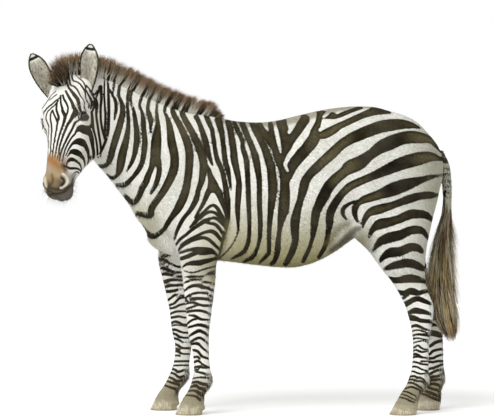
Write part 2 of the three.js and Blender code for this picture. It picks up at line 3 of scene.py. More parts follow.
import bmesh
import bpy
import mathutils.bvhtree
import numpy as np
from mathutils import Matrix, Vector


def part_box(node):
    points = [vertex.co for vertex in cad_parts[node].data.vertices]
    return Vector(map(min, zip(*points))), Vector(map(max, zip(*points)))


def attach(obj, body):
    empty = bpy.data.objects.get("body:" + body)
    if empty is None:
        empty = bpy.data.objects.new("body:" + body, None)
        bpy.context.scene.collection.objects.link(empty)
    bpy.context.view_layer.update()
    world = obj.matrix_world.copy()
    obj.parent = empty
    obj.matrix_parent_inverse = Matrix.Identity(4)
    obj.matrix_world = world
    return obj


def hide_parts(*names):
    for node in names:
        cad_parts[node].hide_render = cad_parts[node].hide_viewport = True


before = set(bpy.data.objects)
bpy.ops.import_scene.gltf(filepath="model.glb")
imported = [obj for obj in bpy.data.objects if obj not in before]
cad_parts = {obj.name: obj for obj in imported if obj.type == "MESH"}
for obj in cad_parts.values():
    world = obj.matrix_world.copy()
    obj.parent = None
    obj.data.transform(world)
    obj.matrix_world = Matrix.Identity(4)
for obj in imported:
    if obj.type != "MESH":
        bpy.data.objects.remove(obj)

scene = bpy.context.scene
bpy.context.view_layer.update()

# ---- Floor, light and camera ----
# A wide pale floor, one broad soft lamp from above on the camera's side, and even pale light
# all round. The camera looks at the animal's left side from a little below its back.
scene.view_settings.view_transform = "Standard"
bpy.ops.object.select_all(action="DESELECT")

bpy.ops.mesh.primitive_plane_add(size=16, location=(0, 0, -0.0004))
floor = bpy.context.object
floor.name = "floor"


def new_material(name):
    material = bpy.data.materials.new(name)
    material.use_nodes = True
    return material


class Maths:
    """A shader value that takes part in sums, so a formula reads as it is written."""

    def __init__(self, tree, socket):
        self.tree, self.socket = tree, socket

    def node(self, kind, inputs=(), out=0, **settings):
        made = self.tree.nodes.new(kind)
        for name, value in settings.items():
            setattr(made, name, value)
        for slot, value in dict(inputs).items():
            if isinstance(value, Maths):
                self.tree.links.new(value.socket, made.inputs[slot])
            else:
                made.inputs[slot].default_value = value
        return Maths(self.tree, made.outputs[out])

    def math(self, operation, *others):
        return self.node("ShaderNodeMath", enumerate((self,) + others), operation=operation)

    def __add__(self, other):
        return self.math("ADD", other)

    def __sub__(self, other):
        return self.math("SUBTRACT", other)

    def __mul__(self, other):
        return self.math("MULTIPLY", other)

    def step(self, low, high):
        return self.node("ShaderNodeMapRange", {0: self, 1: low, 2: high, 3: 0.0, 4: 1.0},
                         interpolation_type="SMOOTHSTEP")

    def mix(self, first, second):
        return self.node("ShaderNodeMix", {0: self, 6: first, 7: second}, out=2, data_type="RGBA")

    def noise(self, scale, detail=2.0):
        return self.node("ShaderNodeTexNoise", {"Vector": self, "Scale": scale, "Detail": detail})


def shading(material):
    """The shader of a material, and its object coordinates as a value to build on."""
    tree = material.node_tree
    start = Maths(tree, None)
    return tree.nodes["Principled BSDF"], start.node("ShaderNodeTexCoord", out=3)


def join(value, shader, slot):
    value.tree.links.new(value.socket, shader.inputs[slot])


floor_paint = new_material("pale_floor")
shader, where = shading(floor_paint)
shader.inputs["Base Color"].default_value = (0.86, 0.86, 0.85, 1)
shader.inputs["Roughness"].default_value = 0.9
shader.inputs["Specular IOR Level"].default_value = 0.1
to_camera = where.node("ShaderNodeLightPath", out="Is Camera Ray")
unlit = where.node("ShaderNodeEmission", {"Strength": 0.0})
glow = where.node("ShaderNodeEmission", {"Strength": 0.2})
shown = where.node("ShaderNodeMixShader", {0: to_camera, 1: unlit, 2: glow})
lit = Maths(where.tree, shader.outputs[0])
join(where.node("ShaderNodeAddShader", {0: lit, 1: shown}), where.tree.nodes["Material Output"], "Surface")
floor.data.materials.append(floor_paint)

world = bpy.data.worlds.new("studio")
world.use_nodes = True
scene.world = world
background = world.node_tree.nodes["Background"]
background.inputs["Color"].default_value = (1, 1, 1, 1)
background.inputs["Strength"].default_value = 0.72
ambient = Maths(world.node_tree, background.outputs[0])
backdrop = ambient.node("ShaderNodeBackground", {"Color": (1, 1, 1, 1), "Strength": 1.0})
to_camera, to_gloss, to_glass = (ambient.node("ShaderNodeLightPath", out=f"Is {kind} Ray")
                                 for kind in ("Camera", "Glossy", "Transmission"))
any_ray = to_camera.math("MAXIMUM", to_gloss).math("MAXIMUM", to_glass)
sky = ambient.node("ShaderNodeMixShader", {0: any_ray, 1: ambient, 2: backdrop})
join(sky, world.node_tree.nodes["World Output"], "Surface")

sun = bpy.data.lights.new("soft_key", "SUN")
sun.energy = 1.9
sun.angle = math.radians(35)
key = bpy.data.objects.new("soft_key", sun)
key.rotation_euler = (math.radians(22), math.radians(38), 0)
scene.collection.objects.link(key)

# The body's tables stand in a frame whose middle plane is x = 0 and whose hooves are at
# z = 0. PLACE carries that frame to the model's own, and is found from the left eyeball.
HEAD_TURN = math.radians(57)
FACE_LEAN = math.radians(25)
HEAD_ROLL = math.radians(9)
POLL = np.array([0.150, -0.780, 1.482])
ahead = np.array([math.sin(HEAD_TURN), -math.cos(HEAD_TURN), 0])
upright = np.array([0, 0, 1])
out_of_brow = ahead * math.cos(FACE_LEAN) + upright * math.sin(FACE_LEAN)
unrolled = ahead * math.sin(FACE_LEAN) - upright * math.cos(FACE_LEAN)
down_face = unrolled * math.cos(HEAD_ROLL) + np.cross(out_of_brow, unrolled) * math.sin(HEAD_ROLL)
leftward = np.cross(out_of_brow, down_face)


def head_point(down, out, side):
    return POLL + down * down_face + out * out_of_brow + side * leftward


EYE = {"down": 0.198, "out": -0.060, "side": 0.094, "radius": 0.023}
low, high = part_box("eye_left")
PLACE = (np.array(low) + np.array(high)) / 2 - head_point(EYE["down"], EYE["out"], EYE["side"])

CAMERA_DISTANCE = 10.0
CAMERA = np.array([CAMERA_DISTANCE, 0.018, 1.088])
AIM = np.array([0, 0.018, 0.892])
SENSOR = 36
VIEW_WIDTH = 2.178  # metres across the view at the middle plane
camera = bpy.data.objects.new("camera", bpy.data.cameras.new("camera"))
camera.data.sensor_width = SENSOR
camera.data.lens = SENSOR * CAMERA_DISTANCE / VIEW_WIDTH
camera.location = PLACE + CAMERA
toward = AIM + PLACE - np.array(camera.location)
camera.rotation_euler = (math.atan2(math.hypot(toward[0], toward[1]), -toward[2]), 0,
                         math.atan2(toward[1], toward[0]) - math.pi / 2)
camera.data.clip_end = 100
scene.collection.objects.link(camera)
scene.camera = camera

# ---- Skin ----
# The animal's hide: one skin over the trunk, neck, head, legs, tail and ears. It lies the
# depth of the short coat inside the solids, whose tables are repeated here in metres.

# Long parts. A row is the place along the part, its low and high edge there (its front and
# back on a leg or the tail), its half width and, for a leg or the tail, how far its axis
# stands from the middle plane.
TRUNK = [
    (-0.43, 0.895, 1.035, 0.05), (-0.396, 0.806, 1.135, 0.102), (-0.32, 0.724, 1.23, 0.15),
    (-0.215, 0.685, 1.28, 0.177), (-0.115, 0.672, 1.283, 0.196), (-0.04, 0.664, 1.268, 0.212),
    (0.05, 0.653, 1.272, 0.229), (0.15, 0.643, 1.284, 0.237), (0.235, 0.643, 1.304, 0.237),
    (0.33, 0.67, 1.326, 0.229), (0.41, 0.714, 1.339, 0.216), (0.5, 0.778, 1.346, 0.202),
    (0.59, 0.828, 1.338, 0.186), (0.66, 0.868, 1.298, 0.16), (0.73, 0.918, 1.243, 0.128),
    (0.79, 0.973, 1.186, 0.09), (0.838, 1.038, 1.138, 0.05),
]
NECK = [
    (-0.12, -0.235, 0.205, 0.14), (-0.04, -0.252, 0.222, 0.136), (0, -0.258, 0.232, 0.13),
    (0.09, -0.24, 0.224, 0.112), (0.19, -0.214, 0.196, 0.095), (0.29, -0.194, 0.168, 0.084),
    (0.39, -0.165, 0.146, 0.076), (0.49, -0.12, 0.118, 0.07), (0.56, -0.07, 0.08, 0.058),
    (0.6, -0.03, 0.04, 0.04),
]
FORELEG = [
    (0.02, -0.276, -0.164, 0.044, 0.097), (0.066, -0.262, -0.172, 0.036, 0.098),
    (0.095, -0.243, -0.166, 0.031, 0.098), (0.122, -0.23, -0.146, 0.033, 0.099),
    (0.148, -0.222, -0.134, 0.035, 0.099), (0.19, -0.214, -0.142, 0.027, 0.1),
    (0.24, -0.215, -0.148, 0.025, 0.1), (0.291, -0.222, -0.15, 0.028, 0.101),
    (0.33, -0.233, -0.15, 0.037, 0.102), (0.372, -0.24, -0.148, 0.041, 0.103),
    (0.42, -0.245, -0.142, 0.038, 0.104), (0.516, -0.254, -0.13, 0.044, 0.106),
    (0.61, -0.264, -0.12, 0.054, 0.11), (0.7, -0.276, -0.118, 0.062, 0.116),
    (0.78, -0.282, -0.13, 0.06, 0.122), (0.85, -0.27, -0.16, 0.044, 0.124),
]
HINDLEG = [
    (0.02, 0.66, 0.764, 0.044, 0.101), (0.066, 0.678, 0.768, 0.036, 0.102),
    (0.095, 0.694, 0.778, 0.031, 0.102), (0.122, 0.712, 0.8, 0.034, 0.103),
    (0.15, 0.724, 0.812, 0.036, 0.103), (0.198, 0.738, 0.81, 0.028, 0.103),
    (0.25, 0.743, 0.81, 0.027, 0.104), (0.31, 0.744, 0.812, 0.03, 0.105),
    (0.37, 0.738, 0.818, 0.038, 0.106), (0.43, 0.724, 0.828, 0.045, 0.107),
    (0.48, 0.708, 0.828, 0.046, 0.108), (0.53, 0.683, 0.81, 0.046, 0.11),
    (0.58, 0.652, 0.796, 0.054, 0.113), (0.64, 0.606, 0.79, 0.068, 0.118),
    (0.712, 0.558, 0.796, 0.082, 0.121), (0.79, 0.534, 0.806, 0.09, 0.118),
    (0.87, 0.556, 0.8, 0.08, 0.11), (0.93, 0.606, 0.77, 0.05, 0.105),
]
TAIL = [
    (0.768, 0.892, 0.912, 0.011, 0), (0.868, 0.888, 0.917, 0.015, 0),
    (0.958, 0.884, 0.919, 0.019, 0), (1.038, 0.872, 0.916, 0.023, 0),
    (1.098, 0.85, 0.905, 0.027, 0), (1.153, 0.812, 0.878, 0.032, 0),
]
SKULL = [
    (-0.016, -0.104, -0.03, 0.044), (0.03, -0.128, -0.008, 0.062), (0.09, -0.138, 0.008, 0.076),
    (0.15, -0.14, 0.012, 0.087), (0.2, -0.142, 0.009, 0.087), (0.26, -0.14, 0.003, 0.071),
    (0.32, -0.132, -0.001, 0.057), (0.38, -0.124, -0.005, 0.049), (0.44, -0.121, -0.01, 0.047),
    (0.49, -0.121, -0.022, 0.05), (0.522, -0.114, -0.04, 0.046), (0.54, -0.104, -0.062, 0.034),
]
JAW = [
    (0.06, -0.205, -0.06, 0.056), (0.1, -0.246, -0.06, 0.068), (0.145, -0.276, -0.06, 0.076),
    (0.195, -0.29, -0.06, 0.08), (0.245, -0.286, -0.06, 0.077), (0.295, -0.262, -0.06, 0.066),
    (0.35, -0.221, -0.06, 0.05), (0.41, -0.184, -0.06, 0.04), (0.45, -0.166, -0.07, 0.037),
    (0.49, -0.158, -0.08, 0.036), (0.518, -0.148, -0.085, 0.033), (0.534, -0.136, -0.095, 0.024),
]
# Rounded masses that melt into them: middle across, along and up, the three radii, the tilt
# in degrees and the length of the blend. Those of the head have no tilt, and their middles
# and radii run down the face, out of the brow and to the side.
MASSES = [
    (0, -0.075, 1.204, 0.056, 0.165, 0.064, -10, 0.07),  # withers
    (0.088, 0.634, 1.116, 0.122, 0.204, 0.2, 0, 0.07),  # croup
    (0.068, 0.766, 0.998, 0.08, 0.094, 0.196, -12, 0.06),  # buttock
    (0.104, 0.65, 0.903, 0.096, 0.16, 0.185, 10, 0.07),  # thigh
    (0.134, 0.56, 0.818, 0.056, 0.068, 0.078, 0, 0.06),  # stifle
    (0.126, 0.44, 1.222, 0.066, 0.084, 0.066, 0, 0.09),  # point of the hip
    (0.11, -0.226, 1.073, 0.062, 0.104, 0.225, -28, 0.09),  # shoulder blade
    (0.096, -0.344, 0.913, 0.064, 0.076, 0.084, 0, 0.07),  # point of the shoulder
    (0.124, -0.195, 0.853, 0.062, 0.11, 0.112, 20, 0.06),  # triceps
    (0.044, -0.384, 0.858, 0.054, 0.054, 0.084, 20, 0.06),  # breast
    (0, -0.308, 0.75, 0.064, 0.11, 0.05, -14, 0.06),  # brisket
    (0.118, -0.15, 0.755, 0.046, 0.054, 0.062, 0, 0.05),  # elbow
]
HEAD_MASSES = [
    (0.194, -0.054, 0.079, 0.046, 0.037, 0.036, 0.03),  # orbit
    (0.146, -0.038, 0.064, 0.06, 0.038, 0.036, 0.04),  # temple
    (0.196, -0.176, 0.058, 0.1, 0.1, 0.036, 0.04),  # cheek
    (0.27, -0.094, 0.058, 0.084, 0.036, 0.024, 0.04),  # cheekbone ridge
    (0.492, -0.066, 0.03, 0.04, 0.036, 0.026, 0.028),  # nostril wing
    (0.518, -0.092, 0.02, 0.028, 0.034, 0.034, 0.022),  # upper lip
    (0.512, -0.132, 0.012, 0.03, 0.02, 0.026, 0.018),  # chin
    (0.044, -0.072, 0.062, 0.046, 0.046, 0.042, 0.036),  # base of the ear
]


def smooth_rows(rows):
    """Rows as a function that gives every column at a place along, by cubic curves."""
    table = np.array(rows, float)
    at, columns = table[:, 0], table[:, 1:]
    slope = np.empty_like(columns)
    slope[1:-1] = (columns[2:] - columns[:-2]) / (at[2:] - at[:-2])[:, None]
    slope[0] = (columns[1] - columns[0]) / (at[1] - at[0])
    slope[-1] = (columns[-1] - columns[-2]) / (at[-1] - at[-2])

    def curve(along):
        x = np.clip(along, at[0], at[-1])
        i = np.clip(np.searchsorted(at, x) - 1, 0, len(at) - 2)
        h = at[i + 1] - at[i]
        t = (x - at[i]) / h
        t, h = t[..., None], h[..., None]
        rise = 3 * t**2 - 2 * t**3
        made = (1 - rise) * columns[i] + rise * columns[i + 1]
        made += (t**3 - 2 * t**2 + t) * h * slope[i] + (t**3 - t**2) * h * slope[i + 1]
        return np.moveaxis(made, -1, 0)

    return curve


def profile(rows, egg=0.0, square=2.0):
    """The distance to a long part. egg narrows its high side, square fills its corners."""
    curve = smooth_rows(rows)
    first, last = rows[0][0], rows[-1][0]

    def distance(along, height, side):
        low, high, width, *rest = curve(along)
        offset = rest[0] if rest else 0
        half = (high - low) / 2
        v = (height - (high + low) / 2) / half
        across = width * (1 - egg * np.clip(v, -1, 1))
        au, av = np.abs((side - offset) / across), np.abs(v)
        q = np.maximum((au**square + av**square) ** (1 / square), 1e-3)
        steep = np.hypot(au ** (square - 1) / across, av ** (square - 1) / half)
        d = (q - 1) / np.maximum(steep / q ** (square - 1), 0.1)
        past = np.maximum(first - along, along - last)
        return np.where(past > 0, np.hypot(np.maximum(d, 0), past), np.maximum(d, past))

    return distance


def ellipsoid(dx, dy, dz, rx, ry, rz):
    q = np.maximum(np.sqrt((dx / rx) ** 2 + (dy / ry) ** 2 + (dz / rz) ** 2), 1e-3)
    return q * (q - 1) / np.sqrt((dx / rx**2) ** 2 + (dy / ry**2) ** 2 + (dz / rz**2) ** 2 + 1e-12)


def melt(a, b, k):
    """The union of two distances, with the corner between them filled over a length k."""
    h = np.maximum(k - np.abs(a - b), 0) / k
    return np.minimum(a, b) - h * h * k / 4


def ease(x, low, high):
    t = np.clip((x - low) / (high - low), 0, 1)
    return t * t * (3 - 2 * t)


trunk_part = profile(TRUNK, egg=0.1, square=2.25)
neck_part = profile(NECK, egg=0.28, square=2.1)
foreleg_part = profile(FORELEG, square=2.2)
hindleg_part = profile(HINDLEG, square=2.2)
tail_part = profile(TAIL)
skull_part = profile(SKULL, egg=0.1, square=2.5)
jaw_part = profile(JAW, square=2.4)
NECK_BASE = np.array([0, -0.300, 1.078])
NECK_RISE = math.radians(38)
neck_axis = np.array([0, -math.cos(NECK_RISE), math.sin(NECK_RISE)])
neck_up = np.array([0, math.sin(NECK_RISE), math.cos(NECK_RISE)])


def neck_bend(along):
    return 0.09 * (np.clip(along - 0.13, 0, 0.47) / 0.47) ** 2


def fore_shift(z):
    elbow = ease(z, 0.4, 0.7) * (1 - ease(z, 0.7, 0.98))
    return -0.078 * (1 - ease(z, 0.64, 0.98)) - 0.028 * elbow - 0.04 * (1 - ease(z, 0.06, 0.33))


def hind_shift(z):
    return 0.084 * (1 - ease(z, 0.2, 0.9)) + 0.034 * (1 - ease(z, 0.04, 0.18))


def in_head(p):
    d = p - POLL
    return d @ down_face, d @ out_of_brow, d @ leftward


def head_flesh(p):
    t, n, s = in_head(p)
    f = melt(skull_part(t, n, s), jaw_part(t, n, s), 0.026)
    for down, out, side, along, deep, across, k in HEAD_MASSES:
        mass = ellipsoid(t - down, n - out, np.abs(s) - side, along, deep, across)
        f = melt(f, mass, k)
    return f


def body_flesh(p):
    x, y, z = p[..., 0], p[..., 1], p[..., 2]
    f = trunk_part(y, z, x)
    for mx, my, mz, across, along, up, tilt, k in MASSES:
        dy, dz = y - my, z - mz
        c, s = math.cos(math.radians(tilt)), math.sin(math.radians(tilt))
        mass = ellipsoid(np.abs(x) - mx, dy * c + dz * s, dz * c - dy * s, across, along, up)
        f = melt(f, mass, k)
    d = p - NECK_BASE
    along = d @ neck_axis
    f = melt(f, neck_part(along, d @ neck_up, x - neck_bend(along)), 0.07)
    for side in (1, -1):
        fore = y - (0 if side > 0 else fore_shift(z))
        hind = y - (0 if side > 0 else hind_shift(z))
        f = melt(f, foreleg_part(z, fore, x * side), 0.04)
        f = melt(f, hindleg_part(z, hind, x * side), 0.044)
    return f


def flesh(p):
    """The whole animal's distance: negative inside, nought on the skin."""
    tail = tail_part(p[..., 2], p[..., 1], p[..., 0])
    return melt(melt(head_flesh(p), body_flesh(p), 0.022), tail, 0.018)


def slope_of(field, p, step=0.0008):
    here = field(p)
    lean = [(field(p + step * np.eye(3)[i]) - here) / step for i in range(3)]
    return here, np.stack(lean, -1)


def settle(p, field=flesh, turns=3):
    """Moves points on to the surface of a field and gives its outward normals there."""
    for _ in range(turns):
        here, lean = slope_of(field, p)
        long = np.maximum((lean**2).sum(-1, keepdims=True), 0.05)
        p = p - np.clip(here, -0.01, 0.01)[..., None] * lean / long
    here, lean = slope_of(field, p)
    return p, lean / np.maximum(np.linalg.norm(lean, axis=-1, keepdims=True), 1e-6)


def each_four_times(a):
    return np.repeat(np.repeat(np.repeat(a, 4, 0), 4, 1), 4, 2)


def at_corner(a, corner):
    """A grid's values at one corner of all its cells."""
    return a[tuple(slice(c, n - 1 + c) for c, n in zip(corner, a.shape))]


def net(field, low, high, cell):
    """A mesh of quads where a field crosses zero, found first on a grid four times coarser."""
    counts = [int(math.ceil((h - l) / (4 * cell))) * 4 + 1 for l, h in zip(low, high)]
    axes = [l + cell * np.arange(c) for l, c in zip(low, counts)]
    coarse = np.stack(np.meshgrid(*[a[::4] for a in axes], indexing="ij"), -1)
    coarse_value = field(coarse)
    near = np.abs(coarse_value) < cell * 8.5
    close = near.copy()
    for axis in range(3):
        for shift in (-1, 1):
            close |= np.roll(near, shift, axis)
    wanted = each_four_times(close)[: counts[0], : counts[1], : counts[2]]
    wanted = wanted | np.roll(wanted, -1, 0) | np.roll(wanted, -1, 1) | np.roll(wanted, -1, 2)
    value = np.ones(counts)
    value[wanted] = field(np.array(low) + cell * np.argwhere(wanted))
    value[~wanted] = each_four_times(coarse_value)[: counts[0], : counts[1], : counts[2]][~wanted]
    inside = value < 0
    total = np.zeros([c - 1 for c in counts] + [3])
    number = np.zeros([c - 1 for c in counts])
    corners = [(i, j, k) for i in (0, 1) for j in (0, 1) for k in (0, 1)]
    for a in corners:
        for axis in range(3):
            if a[axis]:
                continue
            b = tuple(v + (i == axis) for i, v in enumerate(a))
            va, vb = at_corner(value, a), at_corner(value, b)
            crossed = at_corner(inside, a) != at_corner(inside, b)
            share = np.where(crossed, va / np.where(crossed, va - vb, 1), 0)
            for i in range(3):
                total[..., i] += np.where(crossed, a[i] + (share if i == axis else 0), 0)
            number += crossed
    used = number > 0
    order = -np.ones(used.shape, int)
    order[used] = np.arange(used.sum())
    points = np.array(low) + cell * (np.argwhere(used) + total[used] / number[used][:, None])
    quads = []
    for axis in range(3):
        u, v = (axis + 1) % 3, (axis + 2) % 3
        ends = [slice(1, -1)] * 3
        ends[axis] = slice(0, -1)
        ahead_ends = list(ends)
        ahead_ends[axis] = slice(1, None)
        a, b = inside[tuple(ends)], inside[tuple(ahead_ends)]
        for turned, crossed in ((False, a & ~b), (True, ~a & b)):
            spot = np.argwhere(crossed)
            base = spot + [0 if i == axis else 1 for i in range(3)]
            ring = []
            for du, dv in ((-1, -1), (0, -1), (0, 0), (-1, 0)):
                q = base.copy()
                q[:, u] += du
                q[:, v] += dv
                ring.append(order[q[:, 0], q[:, 1], q[:, 2]])
            quad = np.stack(ring, -1)
            quads.append(quad[:, ::-1] if turned else quad)
    return points, np.concatenate(quads)


# The markings of the left side, each a stroke on the upright plane through the animal's
# middle, as the camera sees it. A row is one stroke, of threes: place along the body, height
# and width, in millimetres. The gaps are pale strokes that split the dark of the back. A
# band of the tail is a height and a depth in metres.
NECK_STRIPES = [
    [-587, 1421, 7, -573, 1395, 8, -562, 1373, 12, -559, 1346, 12, -561, 1320, 11, -567, 1289, 4],
    [-543, 1448, 11, -548, 1399, 11, -539, 1377, 12, -532, 1351, 18, -531, 1320, 21, -537, 1289, 26,
     -549, 1245, 27, -563, 1201, 29, -576, 1157, 27, -584, 1126, 27, -595, 1099, 18, -613, 1086, 16,
     -635, 1088, 11],
    [-501, 1448, 9, -509, 1390, 9, -510, 1355, 10, -506, 1311, 13, -505, 1271, 15, -510, 1227, 21,
     -518, 1188, 28, -529, 1148, 33, -538, 1104, 34, -545, 1069, 27, -558, 1044, 14, -578, 1035, 13,
     -604, 1053, 6],
    [-485, 1465, 12, -490, 1417, 11, -495, 1386, 7, -492, 1360, 8, -481, 1329, 11, -475, 1289, 17,
     -469, 1245, 21, -469, 1196, 23, -475, 1152, 21, -486, 1113, 16, -499, 1086, 12, -514, 1062, 4],
    [-434, 1448, 12, -448, 1386, 11, -456, 1353, 10, -445, 1324, 11, -440, 1289, 18, -437, 1245, 19,
     -433, 1196, 22, -437, 1144, 22, -445, 1102, 20, -461, 1069, 19, -485, 1038, 16, -520, 1005, 20,
     -560, 1005, 11],
    [-404, 1421, 11, -414, 1377, 12, -420, 1338, 14, -412, 1309, 20, -407, 1285, 20, -406, 1258, 11,
     -407, 1232, 5],
    [-364, 1413, 13, -376, 1373, 9, -381, 1333, 9, -378, 1293, 15, -375, 1263, 20, -379, 1232, 33,
     -382, 1196, 43, -385, 1148, 44, -386, 1113, 44],
    [-395, 1113, 30, -404, 1077, 22, -419, 1042, 25, -428, 1016, 26, -445, 989, 26, -463, 945, 22,
     -485, 927, 21, -520, 958, 13],
    [-375, 1113, 26, -369, 1073, 20, -375, 1033, 21, -388, 998, 18, -406, 967, 11],
    [-326, 1404, 13, -335, 1377, 13, -345, 1333, 11, -340, 1311, 11, -330, 1289, 18, -321, 1245, 27,
     -315, 1196, 35, -306, 1152, 36, -301, 1113, 35, -309, 1060, 37, -348, 980, 30, -401, 905, 27,
     -410, 870, 25, -467, 879, 17],
    [-304, 1364, 13, -309, 1324, 19, -269, 1245, 26, -238, 1157, 33, -239, 1069, 32, -245, 1024, 31,
     -253, 980, 34, -268, 936, 36, -290, 894, 32, -311, 866, 23, -331, 837, 20, -353, 804, 17,
     -401, 777, 22, -450, 826, 13],
    [-260, 1364, 15, -269, 1320, 21, -225, 1236, 26, -185, 1144, 33, -172, 1082, 34],
    [-175, 1082, 30, -182, 1024, 26, -197, 980, 20, -208, 936, 23, -232, 892, 18, -252, 868, 15,
     -267, 848, 15, -280, 824, 15, -293, 795, 12, -303, 764, 7],
    [-207, 1302, 20, -190, 1267, 18, -168, 1201, 25, -157, 1157, 23, -146, 1121, 15, -135, 1091, 7],
    [-168, 1320, 19, -156, 1289, 20, -146, 1267, 19, -137, 1245, 17, -130, 1201, 17, -123, 1157, 16,
     -113, 1113, 19, -94, 1069, 18, -83, 1024, 19, -75, 980, 22, -69, 936, 24, -65, 910, 18,
     -64, 883, 14, -64, 852, 11, -79, 795, 10, -95, 733, 8, -106, 685, 6],
    [-165, 1091, 17, -151, 1069, 16, -145, 1046, 21, -138, 1024, 30, -133, 1002, 43, -132, 991, 45,
     -146, 983, 25, -157, 963, 22, -168, 936, 17, -179, 914, 15, -192, 892, 11, -212, 859, 6],
    [-123, 991, 33, -106, 965, 28, -96, 936, 21, -88, 914, 16, -81, 892, 12, -74, 866, 10, -70, 839, 7],
    [-234, 817, 4, -205, 853, 8, -182, 875, 9, -163, 894, 9, -146, 908, 10, -131, 913, 11, -119, 906, 13,
     -108, 892, 14, -99, 875, 13, -89, 857, 11, -77, 835, 7],
    [-234, 815, 5, -212, 838, 11, -187, 861, 14, -168, 875, 12, -146, 884, 10, -130, 882, 10,
     -117, 875, 11, -104, 861, 11, -90, 846, 9, -79, 828, 6],
    [-295, 740, 7, -279, 762, 10, -253, 782, 11, -234, 798, 12, -212, 815, 13, -190, 830, 16,
     -168, 844, 16, -148, 853, 11, -131, 858, 11, -111, 850, 11, -95, 834, 10, -79, 815, 6],
    [-163, 839, 11, -146, 834, 11, -126, 830, 12, -110, 817, 13, -97, 800, 11, -87, 777, 6],
    [-278, 729, 4, -272, 739, 7, -249, 755, 9, -227, 767, 10, -205, 777, 10, -182, 789, 10,
     -160, 796, 11, -139, 798, 15, -121, 789, 16, -106, 771, 13, -91, 749, 8],
    [-284, 716, 7, -272, 731, 11, -249, 745, 11, -223, 758, 11, -197, 766, 11, -175, 770, 12,
     -155, 764, 13, -137, 750, 13, -119, 733, 11, -101, 716, 7],
    [-278, 703, 7, -256, 711, 10, -234, 717, 11, -212, 718, 20, -190, 712, 33, -168, 711, 33,
     -146, 711, 27, -128, 705, 15, -115, 694, 7],
    [-271, 678, 15, -251, 685, 16, -229, 694, 17, -207, 703, 16],
    [-267, 639, 6, -251, 652, 12, -234, 657, 17, -212, 658, 22, -190, 659, 24, -168, 665, 21,
     -146, 670, 17, -123, 678, 13, -101, 682, 7],
    [-653, 1382, 7, -646, 1355, 9, -645, 1333, 11, -646, 1311, 9, -644, 1289, 9],
    [-624, 1408, 7, -624, 1377, 9, -627, 1346, 9, -627, 1311, 9, -625, 1280, 9, -620, 1249, 9,
     -613, 1223, 9, -609, 1205, 8],
    [-610, 1474, 5, -611, 1395, 7, -609, 1355, 8, -607, 1311, 8, -608, 1267, 8, -609, 1232, 8,
     -609, 1210, 7],
    [-598, 1492, 6, -594, 1439, 9, -592, 1382, 11, -591, 1333, 12, -592, 1289, 12, -594, 1245, 12,
     -601, 1210, 11, -612, 1179, 11, -624, 1152, 9, -633, 1135, 7],
    [-567, 1474, 8, -571, 1430, 8, -576, 1395, 7],
]
BARREL_STRIPES = [
    [-110, 1289, 30, -97, 1245, 24, -90, 1201, 19, -79, 1113, 21, -67, 1069, 19, -60, 1033, 13,
     -53, 980, 7],
    [-68, 1280, 21, -57, 1245, 26, -42, 1157, 28, -38, 1113, 30, -19, 1024, 22, -19, 980, 25,
     -24, 892, 20, -22, 804, 8, -44, 747, 4, -66, 716, 4, -97, 685, 4],
    [-41, 1280, 13, -26, 1245, 18, -6, 1201, 15, 1, 1157, 19, 14, 1113, 21, 21, 1024, 20, 24, 936, 19,
     28, 826, 15, 24, 760, 16, 9, 716, 17, -13, 698, 15, -53, 676, 4],
    [-7, 1280, 21, 7, 1245, 24, 26, 1201, 23, 44, 1157, 25, 57, 1113, 30, 71, 1024, 22, 72, 936, 21,
     76, 804, 18, 67, 738, 13, 44, 689, 18, 18, 672, 15, 0, 663, 9],
    [34, 1280, 17, 53, 1245, 25, 76, 1201, 24, 97, 1157, 29, 112, 1113, 34, 124, 1069, 36, 130, 980, 37,
     122, 892, 26, 115, 804, 18, 114, 716, 16, 106, 694, 16, 71, 658, 9],
    [68, 1280, 26, 84, 1245, 27, 101, 1218, 30, 121, 1201, 41, 142, 1157, 29, 159, 1113, 37,
     177, 1069, 38, 184, 1002, 39, 182, 936, 46, 178, 892, 46, 168, 848, 30, 161, 804, 18, 155, 760, 20,
     152, 716, 24, 141, 672, 18, 123, 654, 13],
    [119, 1280, 15, 128, 1227, 30, 146, 1188, 20],
    [168, 1280, 44, 176, 1223, 53, 181, 1157, 44, 174, 1113, 35],
    [269, 1289, 45, 243, 1245, 37, 212, 1201, 34, 190, 1157, 32],
    [335, 1320, 34, 324, 1280, 39, 318, 1241, 39, 309, 1201, 51, 273, 1157, 51, 243, 1121, 48,
     216, 1086, 46, 203, 1051, 36, 190, 1024, 32],
    [344, 1223, 34, 362, 1227, 37, 397, 1245, 35, 428, 1265, 26],
    [348, 1311, 31, 401, 1307, 26, 432, 1313, 21, 472, 1329, 21, 516, 1342, 17],
]
BARREL_GAPS = [
    [90, 1280, 16, 101, 1258, 15, 112, 1241, 4],
    [130, 1289, 13, 139, 1267, 13, 150, 1223, 17, 163, 1161, 11, 166, 1144, 4],
    [201, 1293, 9, 196, 1271, 7],
    [247, 1302, 11, 229, 1276, 11, 214, 1254, 13, 204, 1236, 15],
    [315, 1316, 17, 309, 1289, 21, 295, 1258, 17, 272, 1223, 24, 245, 1179, 22, 220, 1157, 15,
     205, 1135, 19, 194, 1113, 18, 186, 1091, 15, 196, 1064, 9],
    [340, 1245, 15, 362, 1263, 17, 392, 1278, 20, 432, 1291, 16, 472, 1309, 15, 516, 1327, 11,
     551, 1340, 7],
    [353, 1300, 9, 364, 1311, 15, 377, 1324, 15],
    [412, 1320, 13, 432, 1331, 15, 472, 1344, 13, 507, 1353, 9],
]
